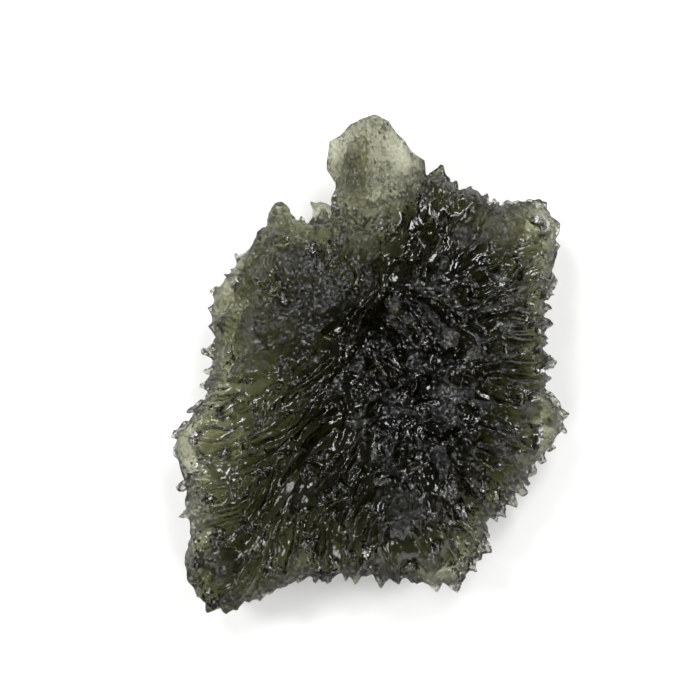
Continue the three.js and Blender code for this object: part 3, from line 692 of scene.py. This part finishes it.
def store(piece, name, kind, values):
    attribute = piece.data.attributes.new(name, kind, "POINT")
    key = "vector" if kind == "FLOAT_VECTOR" else "value"
    attribute.data.foreach_set(key, np.array(values).ravel())


glass = bpy.data.materials.new("moldavite_etched_natural_glass")
thorns = new_object("thorns", [p for p, *_ in places], [])
store(thorns, "turn", "FLOAT_VECTOR", [t for _, t, _, _ in places])
store(thorns, "size", "FLOAT_VECTOR", [s for _, _, s, _ in places])
store(thorns, "form", "INT", [f for *_, f in places])
run_tree(thorns, thorn_tree(), {"Forms": forms, "Rise": 1.0, "Material": glass})
print("thorns:", len(thorns.data.polygons), "faces")

# %% [markdown]
# ## Ridges by Geometry Nodes
# Some crests run on for 3 to 5 mm, and the teeth of the rim are the ends of such crests, not
# spikes of their own. Each ridge is a path over the face or the back, and the tree sweeps a
# hollow-flanked section along it, made low or high by the path's own "rise".

# %% Ridge tree
RIDGE_STEPS = 11
TOOTH_RIDGE_LENGTH = 3.6
TOOTH_SETBACK = 0.6  # from the tooth's tip to the end of its ridge

# Ribs that run up from the body into the flake: start, end, height.
FLAKE_RIDGES = [
    ((-1.9, 7.8), (-1.7, 14.0), 0.9), ((-1.1, 7.6), (-0.9, 12.4), 0.8),
    ((-0.1, 8.0), (-0.2, 14.8), 0.9), ((0.7, 7.8), (0.8, 13.2), 1.0),
    ((1.5, 8.2), (1.5, 12.4), 1.1), ((2.3, 8.6), (2.4, 12.3), 1.1),
    ((3.1, 9.0), (3.2, 12.2), 1.2), ((-2.9, 8.0), (-3.1, 10.0), 0.7),
    ((0.1, 8.2), (0.0, 10.8), 1.5),
]
FLAKE_FOOT, FLAKE_TOP, FLAKE_SLOPE = 8.9, 0.75, 0.12
RIDGE_PROFILE = [
    (0.75, -0.5), (0.3, 0.15), (0.09, 0.6), (0, 1), (-0.09, 0.6), (-0.3, 0.15), (-0.75, -0.5),
]


def on_curve(line, t):
    """The point at share t of the smooth curve through a line's start, middle and end."""
    a, b, c = (np.array(p) for p in line[:3])
    return a * (1 - t) * (1 - 2 * t) + b * 4 * t * (1 - t) + c * t * (2 * t - 1)


def ridge_paths():
    """Points for each ridge's path, the edges between them and the ridge's height at each."""
    points, edges, rises = [], [], []

    def add_point(step, x, y, z, rise):
        points.append((x, y, z))
        rises.append(rise)
        if step:
            edges.append((len(points) - 2, len(points) - 1))

    for *line, rise in LONG_RIDGES:
        for step in range(RIDGE_STEPS):
            t = step / (RIDGE_STEPS - 1)
            x, y = on_curve(line, t)
            arch = 0.12 + 0.95 * math.sin(math.pi * (0.08 + 0.8 * t)) ** 0.7
            add_point(step, x, y, float(face_height(x, y)), rise * arch)
    for i, (x, y, *own) in enumerate(RIM_TIPS):
        rise = 1.5 * (own or [RIM_THORN_HALF_WIDTH])[0]
        direction = float(grain(x, y))
        level = float(rim_level(x, y))
        for step in range(RIDGE_STEPS):
            t = step / (RIDGE_STEPS - 1)
            back = TOOTH_SETBACK + TOOTH_RIDGE_LENGTH * (1 - t)
            bend = 0.35 * math.sin(2.4 * i) * math.sin(math.pi * t)
            px = x - back * math.cos(direction) - bend * math.sin(direction)
            py = y - back * math.sin(direction) + bend * math.cos(direction)
            z = float(face_height(px, py)) * (1 - t**2) + level * t**2
            arch = 0.12 + 0.7 * math.sin(math.pi * (0.12 + 0.88 * t))
            add_point(step, px, py, z, rise * arch)
    for (x0, y0), (x1, y1), rise in FLAKE_RIDGES:
        for step in range(RIDGE_STEPS):
            t = step / (RIDGE_STEPS - 1)
            x, y = x0 + (x1 - x0) * t + 0.12 * math.sin(5 * t + x0), y0 + (y1 - y0) * t
            face, flake = float(face_height(x, y)), FLAKE_TOP + FLAKE_SLOPE * (y - FLAKE_FOOT)
            z = 0.5 * (face + flake + math.hypot(face - flake, 0.6))
            arch = 0.3 + 0.9 * math.sin(math.pi * t) ** 0.8 * (1 - 0.5 * t)
            add_point(step, x, y, z - 0.2 * rise, rise * arch)
    return points, edges, rises


def ridge_tree():
    tree, given, result = new_tree("ridges_along_paths", "Section", "Object")
    scaled = add(
        tree, "ShaderNodeMath", {0: stored(tree, "rise", "FLOAT"), 1: given.outputs["Rise"]},
        operation="MULTIPLY",
    )
    path = add(tree, "GeometryNodeMeshToCurve", {"Mesh": given.outputs["Geometry"]})
    upright = add(tree, "GeometryNodeSetCurveNormal", {"Curve": path.outputs["Curve"]}, mode="Z_UP")
    section = add(tree, "GeometryNodeObjectInfo", {"Object": given.outputs["Section"]})
    outline = add(tree, "GeometryNodeMeshToCurve", {"Mesh": section.outputs["Geometry"]})
    swept = add(
        tree, "GeometryNodeCurveToMesh",
        {"Curve": upright.outputs["Curve"], "Profile Curve": outline.outputs["Curve"],
         "Scale": scaled.outputs["Value"], "Fill Caps": True},
    )
    return end_tree(tree, given, result, swept.outputs["Mesh"])


ridge_points, ridge_edges, ridge_rises = ridge_paths()
ridges = new_object("ridges", ridge_points, [], ridge_edges)
store(ridges, "rise", "FLOAT", ridge_rises)
ring = [(i, (i + 1) % len(RIDGE_PROFILE)) for i in range(len(RIDGE_PROFILE))]
section = new_object("ridge_section", [(x, y, 0) for x, y in RIDGE_PROFILE], [], ring)
run_tree(ridges, ridge_tree(), {"Section": section, "Rise": 1.0, "Material": glass})
bpy.data.objects.remove(section)
ridge_top = max(v.co.z for v in ridges.data.vertices)
print("ridges:", len(ridges.data.polygons), "faces, up to", round(ridge_top, 2), "mm over the rim")

# %% [markdown]
# ## The flake and the lumps
# At the top a sliver of glass is left that is under a millimetre thick. It is a slab of its
# outline with rounded edges, tipped up a little, and the rib on its left half is a thicker one.
# Four worn lumps of the back reach down to the table, and six blunt ones thicken the rim and
# the flake's root.

# %% Slabs and lumps
# How far each ring of a slab lies inwards and up, as shares of its thickness.
SLAB_SECTION = [(0.3, -0.5), (0.06, -0.3), (0, 0), (0.06, 0.3), (0.3, 0.5)]


def slab(name, outline, thickness, level, tilt):
    foot = min(y for _, y in outline)
    count = len(outline)
    centre = np.mean(outline, axis=0)
    points = []
    for inset, z in SLAB_SECTION:
        for p in np.array(outline):
            inwards = centre - p
            x, y = p + inwards / np.linalg.norm(inwards) * inset * thickness
            points.append(Vector((x, y - foot, z * thickness)))
    turn = Matrix.Rotation(math.radians(tilt), 3, "X")
    points = [turn @ p + Vector((0, foot, level)) for p in points]
    faces = [tuple(range(count))[::-1], tuple(range(4 * count, 5 * count))]
    for ring_start in range(0, 4 * count, count):
        for i in range(count):
            n = (i + 1) % count
            a, b = ring_start, ring_start + count
            faces.append((a + i, a + n, b + n, b + i))
    made = new_object(name, points, faces)
    bpy.context.view_layer.update()
    return made


def worn_lump(x, y, degrees):
    bpy.ops.mesh.primitive_cone_add(
        vertices=24, radius1=WORN_LUMP_RADIUS, radius2=WORN_LUMP_RADIUS + WORN_LUMP_FLARE,
        depth=REST_DEPTH,
    )
    made = bpy.context.object
    place = Matrix.Translation((x, y, -REST_DEPTH / 2 - 0.3))
    turn = Matrix.Rotation(math.radians(degrees), 4, "Z")
    made.data.transform(place @ turn @ Matrix.Diagonal((*WORN_LUMP_STRETCH, 1, 1)))
    return made


def blunt_lump(centre, half_sizes):
    bpy.ops.mesh.primitive_uv_sphere_add(segments=24, ring_count=12, radius=1)
    made = bpy.context.object
    made.data.transform(Matrix.Translation(centre) @ Matrix.Diagonal((*half_sizes, 1)))
    return made


slabs = [
    slab("flake", FLAKE_OUTLINE, thickness=0.9, level=0.3, tilt=7),
    slab("flake_rib", FLAKE_RIB_OUTLINE, thickness=1.7, level=0.8, tilt=7),
    slab("tooth", TOOTH_OUTLINE, thickness=0.8, level=0.2, tilt=5),
]
lumps =[worn_lump(*lump) for lump in WORN_LUMPS] + [blunt_lump(*lump) for lump in BLUNT_LUMPS]
print("slabs and lumps:", len(slabs) + len(lumps))

# %% [markdown]
# ## One skin
# So far these are many solids that stand in each other. Glass has one skin, and light that
# passes through it must not meet hidden walls inside. A voxel remesh keeps the outside alone.

# %% Fuse
VOXEL = 0.09  # mm: one and a half pixels of the photo


def join(parts):
    for o in bpy.context.scene.objects:
        o.select_set(False)
    for o in parts:
        o.select_set(True)
    bpy.context.view_layer.objects.active = parts[0]
    bpy.ops.object.join()
    return parts[0]


stone = join([body, thorns, ridges, *slabs, *lumps])
stone.name = "moldavite_stone"
fuse = stone.modifiers.new("fuse", "REMESH")
fuse.mode = "VOXEL"
fuse.voxel_size = VOXEL
make_plain(stone)
print("fused skin:", len(stone.data.vertices), "points")

# %% [markdown]
# ## Etching
# Acid widens each weak spot into a round hollow, and where hollows meet, a sharp crest is left.
# That is a Voronoi pattern: from every seed the ground rises with the square of the distance,
# and the lowest of all those bowls is the surface. Stretching the bowls along the grain turns
# them into flutes, and at the lower left into longer blades. Turned over, they are the knobs of
# the thin wing. The domes, the flat facet and the thin crests are spared most of the etching.

# %% Regions of the face
CREST_WIDTH = 0.16
CREST_STEPS = (0, 0.25, 0.5, 0.75, 1)  # where a curved line is cut into straight ones
FLAT_BAND_WIDTH = 0.5


def smooth_step(value, low, high):
    t = np.clip((value - low) / (high - low), 0, 1)
    return t * t * (3 - 2 * t)


def flow(x, y):
    """0 over the thick middle, where hollows are round, 1 where they are drawn out long."""
    return smooth_step(np.hypot(x - 2.5, (y + 1) / 1.3), 2.5, 8)


def past_gully(x, y):
    """How far a point lies from the gully, in mm, on the side of the thin wing."""
    return (x + 0.8) * -0.87 + (y - 3.3) * 0.49


def wing(x, y):
    """1 on the thin smooth wing left of the gully, 0 on the thick lobe right of it."""
    return smooth_step(past_gully(x, y), 0, 2.5)


def spots(places, x, y):
    return sum(np.exp(-((x - px) ** 2 + (y - py) ** 2) / r**2) for px, py, r in places)


def crest_lines(lines, width, x, y):
    """1 on the nearest of some curved lines, falling to 0 beside it."""
    nearest = np.full(x.shape, 9.0)
    bent_x, bent_y = x + 0.08 * np.sin(2.3 * y), y + 0.08 * np.sin(2.1 * x)
    for line in lines:
        path = [on_curve(line, t) for t in CREST_STEPS]
        for p, q in zip(path, path[1:]):
            way = q - p
            dx, dy = bent_x - p[0], bent_y - p[1]
            t = np.clip((dx * way[0] + dy * way[1]) / (way @ way), 0, 1)
            nearest = np.minimum(nearest, (dx - t * way[0]) ** 2 + (dy - t * way[1]) ** 2)
    return np.exp(-nearest / width**2)


def find_regions(x, y, normals, facing):
    """How much each point belongs to every region, from 0 to 1."""
    flake = smooth_step(y, 10.8, 11.6) * (x < 3.8)
    knobbed = wing(x, y) * smooth_step(y, -2.5, 1.5) * (1 - flake)
    on_face = facing * (normals[:, 2] > 0)
    return {
        "everywhere": 1.0,
        "back": normals[:, 2] < 0,
        "wing": wing(x, y),
        "flake": flake,
        "root": smooth_step(y, 8.2, 10.2) * np.exp(-(((x - 0.5) / 2.4) ** 4)),
        "knobbed": knobbed,
        "knobbed face": knobbed * on_face,
        "swept": smooth_step(-0.707 * (x + 1 + y), 1.5, 4.5) * (1 - knobbed),
        "right rim": smooth_step(x, 5, 8) * (1 - knobbed),
        # The gully's tint is darkened as painted shade, and its skin is glossier.
        "gully": np.exp(-(((past_gully(x, y) + 0.7) / 1.1) ** 2)) * (1 - flake),
        "pale": np.clip(spots(PALE_SPOTS, x, y), 0, 1),
        "dark": spots(DARK_SPOTS, x, y),
        "glossy knob": spots(GLOSSY_KNOBS, x, y),
        "domes": np.clip(spots(DOMES, x, y), 0, 1) * on_face,
        "band": crest_lines(FLAT_BAND, FLAT_BAND_WIDTH, x, y),
        "crest": crest_lines(LONG_RIDGES + FINE_CRESTS, CREST_WIDTH, x, y) * on_face,
    }


def mixed(shares, region):
    """The sum of the regions, each taken by its share."""
    return sum(share * region[name] for name, share in shares.items())


def spared(shares, region):
    """What is left of the etching when each region is spared its share."""
    left = 1
    for name, share in shares.items():
        left = left * (1 - share * region[name])
    return left


# %% Waves and bowls
noise = np.random.default_rng(7)
WAVES = 9
PATTERN_HALF_X, PATTERN_HALF_Y = 15, 18
PITCH_SHARE = 0.9  # how close the bowls stand for their size
ROUND_TURN, DRAWN_TURN = 0.6, 0.38  # radians off the grain, and how much less where drawn out
LEVELS, SIZES = (0, 0.12), (0.75, 1.3)
ROUND_LENGTH = 0.35  # of a bowl's full length, where it isn't drawn out


def wave_field(points, wavelength):
    """A smooth random push in three directions, made of waves of about one length."""
    push = np.zeros_like(points)
    for _ in range(WAVES):
        way = noise.normal(size=3)
        way *= 2 * np.pi / (wavelength * noise.uniform(0.7, 1.4)) / np.linalg.norm(way)
        push += np.sin(points @ way + noise.uniform(0, 2 * np.pi))[:, None] * noise.normal(size=3)
    return push / math.sqrt(WAVES)


def bowls(x, y, width, length):
    """0 at the bottom of the nearest bowl, rising to sharp crests between bowls."""
    pitch = math.sqrt(width * length) * PITCH_SHARE
    reach = math.ceil(length / pitch)
    columns = math.ceil(2 * PATTERN_HALF_X / pitch) + 2 * reach
    rows = math.ceil(2 * PATTERN_HALF_Y / pitch) + 2 * reach
    cell_x, cell_y = np.meshgrid(np.arange(columns), np.arange(rows), indexing="ij")
    seed_x = (cell_x - reach + noise.uniform(0, 1, cell_x.shape)) * pitch - PATTERN_HALF_X
    seed_y = (cell_y - reach + noise.uniform(0, 1, cell_x.shape)) * pitch - PATTERN_HALF_Y
    drawn = flow(seed_x, seed_y)
    turn = noise.normal(0, 1, cell_x.shape) * (ROUND_TURN - DRAWN_TURN * drawn)
    angle = grain(seed_x, seed_y) + turn
    cos, sin = np.cos(angle), np.sin(angle)
    level = noise.uniform(*LEVELS, cell_x.shape)
    size = noise.uniform(*SIZES, cell_x.shape)
    own_x = np.floor((x + PATTERN_HALF_X) / pitch).astype(int) + reach
    own_y = np.floor((y + PATTERN_HALF_Y) / pitch).astype(int) + reach
    own_x, own_y = np.clip(own_x, reach, columns - reach - 1), np.clip(own_y, reach, rows - reach - 1)
    lowest = np.full(x.shape, 9.0)
    for i in range(-reach, reach + 1):
        for j in range(-reach, reach + 1):
            cell = (own_x + i, own_y + j)
            dx, dy = x - seed_x[cell], y - seed_y[cell]
            own_length = length * (ROUND_LENGTH + 0.65 * drawn[cell])
            along = (dx * cos[cell] + dy * sin[cell]) / own_length
            across = (dy * cos[cell] - dx * sin[cell]) / width
            lowest = np.minimum(lowest, (along**2 + across**2) / size[cell] + level[cell])
    return np.minimum(lowest, 1.0)


def flake_stripes(x, y):
    """Fine ribs that run up the flake, from -1 to 1."""
    slanted = x + 0.06 * y + 0.12 * np.sin(0.9 * y)
    stripes = sum(np.sin(2 * np.pi * slanted / w + 5 * w) for w in (0.31, 0.43, 0.62, 0.97))
    return stripes / 3


def smoothed_normals(mesh, rounds):
    count = len(mesh.vertices)
    normals = np.zeros(count * 3, np.float32)
    mesh.vertex_normals.foreach_get("vector", normals)
    normals = normals.reshape(-1, 3).astype(float)
    ends = np.zeros(len(mesh.edges) * 2, np.int32)
    mesh.edges.foreach_get("vertices", ends)
    a, b = ends.reshape(-1, 2).T
    for _ in range(rounds):
        total = normals.copy()
        for axis in range(3):
            total[:, axis] += np.bincount(a, normals[b, axis], count)
            total[:, axis] += np.bincount(b, normals[a, axis], count)
        normals = total / np.linalg.norm(total, axis=1, keepdims=True)
    return normals


# %% Etch
SLOW_BEND, SLOW_WAVE = 0.26, 3.6  # mm: how far the body is bent, and over what length
SMALL_BEND, SMALL_WAVE = 0.05, 1.4
RIM_BEND, RIM_WAVE = 0.06, 0.9
# The widths and lengths of the bowls, and how deep they go.
FLUTE, HOLLOW, KNOB, BLADE = (0.95, 3.4), (0.42, 0.9), (2.1, 2.6), (1.3, 5.2)
STEP_DEPTH, HOLLOW_DEPTH, STRIPE_DEPTH = 0.85, 0.24, 0.12
BLADE_SHARE, KNOB_SHARE, FLUTES_ON_KNOBS = 1.15, 1.2, 0.25  # of the flutes' depth
BACK_SHARE = 0.7  # of the face's depth
LEAN = 0.6  # how far a step also goes along the grain
CREST_RISE, DOME_RISE, PALE_SINK = 0.42, 0.45, 0.45
TOP_ROOM = 0.4  # mm under the solid's top in which the highest crests are levelled off
TOP_START = cad_high.z / MM - REST_DEPTH - TOP_ROOM
# The share of the large and of the small etching that each region is spared.
LARGE_SPARED = {"flake": 0.85, "crest": 0.6, "band": 0.8, "domes": 0.7}
SMALL_SPARED = {"swept": 0.3, "flake": 0.75, "knobbed": 0.5, "root": 0.7}
# How light each region's tint is: a little everywhere, and more where thin glass lets light
# through, which is painted light. Then how much darker it is painted again: in the gully as
# painted shade, and at the dark spots, on the flake and on the flat band.
CLEAR_AND_PAINTED_LIGHT = {
    "everywhere": 0.26, "wing": 0.3, "knobbed": 0.45, "swept": 0.2, "pale": 0.75, "right rim": 0.32,
}
DARKER_AND_PAINTED_SHADE = {"gully": 0.35, "dark": 0.6, "flake": 0.14, "band": 0.4}
# How much more frosted, and how much more glossy, each region is than its relief makes it.
FROSTED = {"everywhere": 0.5, "band": 0.5, "back": 0.3, "domes": 0.45, "flake": 0.4, "rim": 0.5}
GLOSSY = {"gully": 0.2, "glossy knob": 0.5, "knobbed face": 0.1, "root": 0.1, "crest": 0.5}
HOLLOW_FROST, DOME_CLOUD = 0.3, 0.6


def etch(mesh):
    """Moves the points; stores each one's frost, cloud, and tint with painted light and shade."""
    points = np.zeros(len(mesh.vertices) * 3, np.float32)
    mesh.vertices.foreach_get("co", points)
    points = points.reshape(-1, 3).astype(float)
    normals = smoothed_normals(mesh, 6)
    x, y = points[:, 0], points[:, 1]  # views, so they follow every move of the points
    on_body = 1 - smooth_step(outwards(x, y), 0.88, 1.02)
    facing = smooth_step(np.abs(normals[:, 2]), 0.1, 0.6)
    points += SLOW_BEND * wave_field(points, SLOW_WAVE) * on_body[:, None]
    points += SMALL_BEND * wave_field(points, SMALL_WAVE) * (0.3 + 0.7 * on_body)[:, None]
    direction = grain(x, y)
    lean = np.stack([np.cos(direction), np.sin(direction), np.zeros_like(x)], axis=1)
    region = find_regions(x, y, normals, facing)
    flake, knobbed, swept, pale, domes = (
        region[name] for name in ("flake", "knobbed", "swept", "pale", "domes")
    )
    sink = PALE_SINK * pale * (outwards(x, y) < 0.95) * facing
    points += normals * (DOME_RISE * domes - sink)[:, None]
    relief = 0
    for side in (1, -1):
        here = (normals[:, 2] * side > 0) * facing
        flutes = bowls(x, y, *FLUTE) - 0.5
        hollows = bowls(x, y, *HOLLOW) - 0.4
        knobs = 0.5 - bowls(x, y, *KNOB)
        blades = bowls(x, y, *BLADE) - 0.5
        depth = here * (0.3 + 0.7 * on_body) * (1 - 0.5 * pale) * (1 if side > 0 else BACK_SHARE)
        steps = flutes * (1 - knobbed) * (1 - swept) + BLADE_SHARE * blades * swept
        steps += (KNOB_SHARE * knobs + FLUTES_ON_KNOBS * flutes) * knobbed
        steps *= spared(LARGE_SPARED, region)
        way = normals + LEAN * lean * (1 - knobbed)[:, None]
        points += way * (STEP_DEPTH * steps * depth)[:, None]
        points += normals * (HOLLOW_DEPTH * hollows * depth * spared(SMALL_SPARED, region))[:, None]
        relief = relief + here * (steps + HOLLOW_FROST * hollows)
    points += normals * (STRIPE_DEPTH * flake_stripes(x, y) * flake * facing)[:, None]
    points += normals * (CREST_RISE * region["crest"])[:, None]
    points += RIM_BEND * wave_field(points, RIM_WAVE) * ((1 - on_body) * (1 - flake))[:, None]
    region["rim"] = smooth_step(outwards(x, y), 0.86, 0.98)
    over = np.maximum(points[:, 2] - TOP_START, 0)
    points[:, 2] = np.minimum(points[:, 2], TOP_START) + TOP_ROOM * np.tanh(over / TOP_ROOM)
    points[:, 2] = np.maximum(points[:, 2], -REST_DEPTH)
    mesh.vertices.foreach_set("co", points.astype(np.float32).ravel())
    mesh.update()
    # The tint carries painted light and shade: lighter where thin glass lets light through, darker in the
    # gully as painted shade.
    tint_with_painted_light_and_shade = mixed(CLEAR_AND_PAINTED_LIGHT, region) - mixed(DARKER_AND_PAINTED_SHADE, region)
    height = relief + mixed(FROSTED, region) - mixed(GLOSSY, region)
    clouded = pale + DOME_CLOUD * domes
    for name, values in (("tint_with_painted_light_and_shade", tint_with_painted_light_and_shade), ("height", height), ("clouded", clouded)):
        mesh.attributes.new(name, "FLOAT", "POINT").data.foreach_set("value", np.clip(values, 0, 1))


etch(stone.data)
print("etched", len(stone.data.vertices), "points")

# %% [markdown]
# ## Size and budget
# The mesh goes from millimetres to metres and down onto the table. A collapse decimation then
# takes points from the smooth hollows and leaves the crests, to keep the piece light.

# %% Finish the mesh
MOST_TRIANGLES = 190_000

stone.data.transform(Matrix.Translation((0, 0, REST_DEPTH * MM)) @ Matrix.Scale(MM, 4))
triangles = sum(len(p.vertices) - 2 for p in stone.data.polygons)
thin = stone.modifiers.new("thin_out", "DECIMATE")
thin.ratio = min(1.0, MOST_TRIANGLES / triangles)
make_plain(stone)
for polygon in stone.data.polygons:
    polygon.use_smooth = True
print("triangles:", triangles, "->", len(stone.data.polygons))

# %% [markdown]
# ## The glass
# Moldavite is a silica glass with a little iron, which drinks red and blue light and lets
# yellow green through. Its colour is all in its depth: a sliver is pale, a centimetre is nearly
# black. So the volume absorbs, and the surface has a slight tint that also carries painted light
# and shade: lighter where thin glass lets light through, darker in the gully as painted shade,
# and darker at a few listed spots, on the flake and on the flat band. Acid made the skin: it is
# glossy on the crests, which it left sharp, and finely pitted, almost frosted, on the lumps.

# %% Glass material
PIT_SIZE, PIT_DEPTH = 0.4, 0.1  # mm
FACET_SIZE = 0.17  # of the tiny etched facets that glitter
PATCH_SIZE = 2.2  # of the frosted patches
FROST_START, FROST_END = 0.82, 1.12  # height and patch together, where the frost sets in
GLOSSY_ROUGHNESS, FROSTED_ROUGHNESS, CLOUDED_ROUGHNESS = 0.13, 0.29, 0.15
GLOSSY_BUMP, FROSTED_BUMP = 0.06, 1.05
GLASS_IOR = 1.49
LET_THROUGH, DENSITY = (0.48, 0.49, 0.24, 1.0), 1000.0  # per metre


def glass_material(material):
    material.use_nodes = True
    tree = material.node_tree
    shader = tree.nodes["Principled BSDF"]
    output = tree.nodes["Material Output"]

    def painted(name):
        return add(tree, "ShaderNodeAttribute", attribute_name=name).outputs["Fac"]

    def between_values(share, low, high):
        spread = add(tree, "ShaderNodeMapRange", {"Value": share, "To Min": low, "To Max": high})
        return spread.outputs["Result"]

    def vector_math(operation, inputs):
        return add(tree, "ShaderNodeVectorMath", inputs, operation=operation).outputs["Vector"]

    place = add(tree, "ShaderNodeTexCoord").outputs["Object"]
    # The base colour mixes a dark and a pale tint by the stored one: painted light where thin glass lets
    # light through, painted shade in the gully.
    tint_with_painted_light_and_shade = add(
        tree, "ShaderNodeMix",
        {0: painted("tint_with_painted_light_and_shade"), 6: linear("#787864"), 7: linear("#FAFAF6")}, data_type="RGBA",
    )
    patches = add(
        tree, "ShaderNodeTexNoise",
        {"Vector": place, "Scale": 1 / (PATCH_SIZE * MM), "Detail": 3.0},
    )
    tops = add(
        tree, "ShaderNodeMath", {0: painted("height"), 1: patches.outputs["Fac"]},
        operation="ADD",
    )
    frost = add(
        tree, "ShaderNodeMapRange",
        {"Value": tops.outputs["Value"], "From Min": FROST_START, "From Max": FROST_END},
    ).outputs["Result"]
    frosted = between_values(frost, GLOSSY_ROUGHNESS, FROSTED_ROUGHNESS)
    roughness = add(
        tree, "ShaderNodeMath", {0: painted("clouded"), 1: CLOUDED_ROUGHNESS, 2: frosted},
        operation="MULTIPLY_ADD",
    )
    bumpy = between_values(frost, GLOSSY_BUMP, FROSTED_BUMP)
    pits = add(tree, "ShaderNodeTexVoronoi", {"Vector": place, "Scale": 1 / (PIT_SIZE * MM)})
    pitted = add(
        tree, "ShaderNodeBump",
        {"Height": pits.outputs["Distance"], "Strength": bumpy, "Distance": PIT_DEPTH * MM},
    )
    facets = add(tree, "ShaderNodeTexVoronoi", {"Vector": place, "Scale": 1 / (FACET_SIZE * MM)})
    any_way = vector_math("SUBTRACT", {0: facets.outputs["Color"], 1: (0.5, 0.5, 0.5)})
    tilt = vector_math("SCALE", {0: any_way, "Scale": bumpy})
    tilted = vector_math("ADD", {0: pitted.outputs["Normal"], 1: tilt})
    rough = vector_math("NORMALIZE", {0: tilted})
    tree.links.new(tint_with_painted_light_and_shade.outputs[2], shader.inputs["Base Color"])
    tree.links.new(roughness.outputs["Value"], shader.inputs["Roughness"])
    tree.links.new(rough, shader.inputs["Normal"])
    shader.inputs["IOR"].default_value = GLASS_IOR
    shader.inputs["Transmission Weight"].default_value = 1.0
    depth = add(tree, "ShaderNodeVolumeAbsorption", {"Color": LET_THROUGH, "Density": DENSITY})
    tree.links.new(depth.outputs["Volume"], output.inputs["Volume"])


glass_material(glass)
stone.data.materials.clear()
stone.data.materials.append(glass)
print("glass:", len(glass.node_tree.nodes), "nodes")

# %% [markdown]
# ## Hand over
# The stone rides on the frame's one body and stands for the plain solid.

# %% Ride, replace and finish
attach(stone, "root")
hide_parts("moldavite")
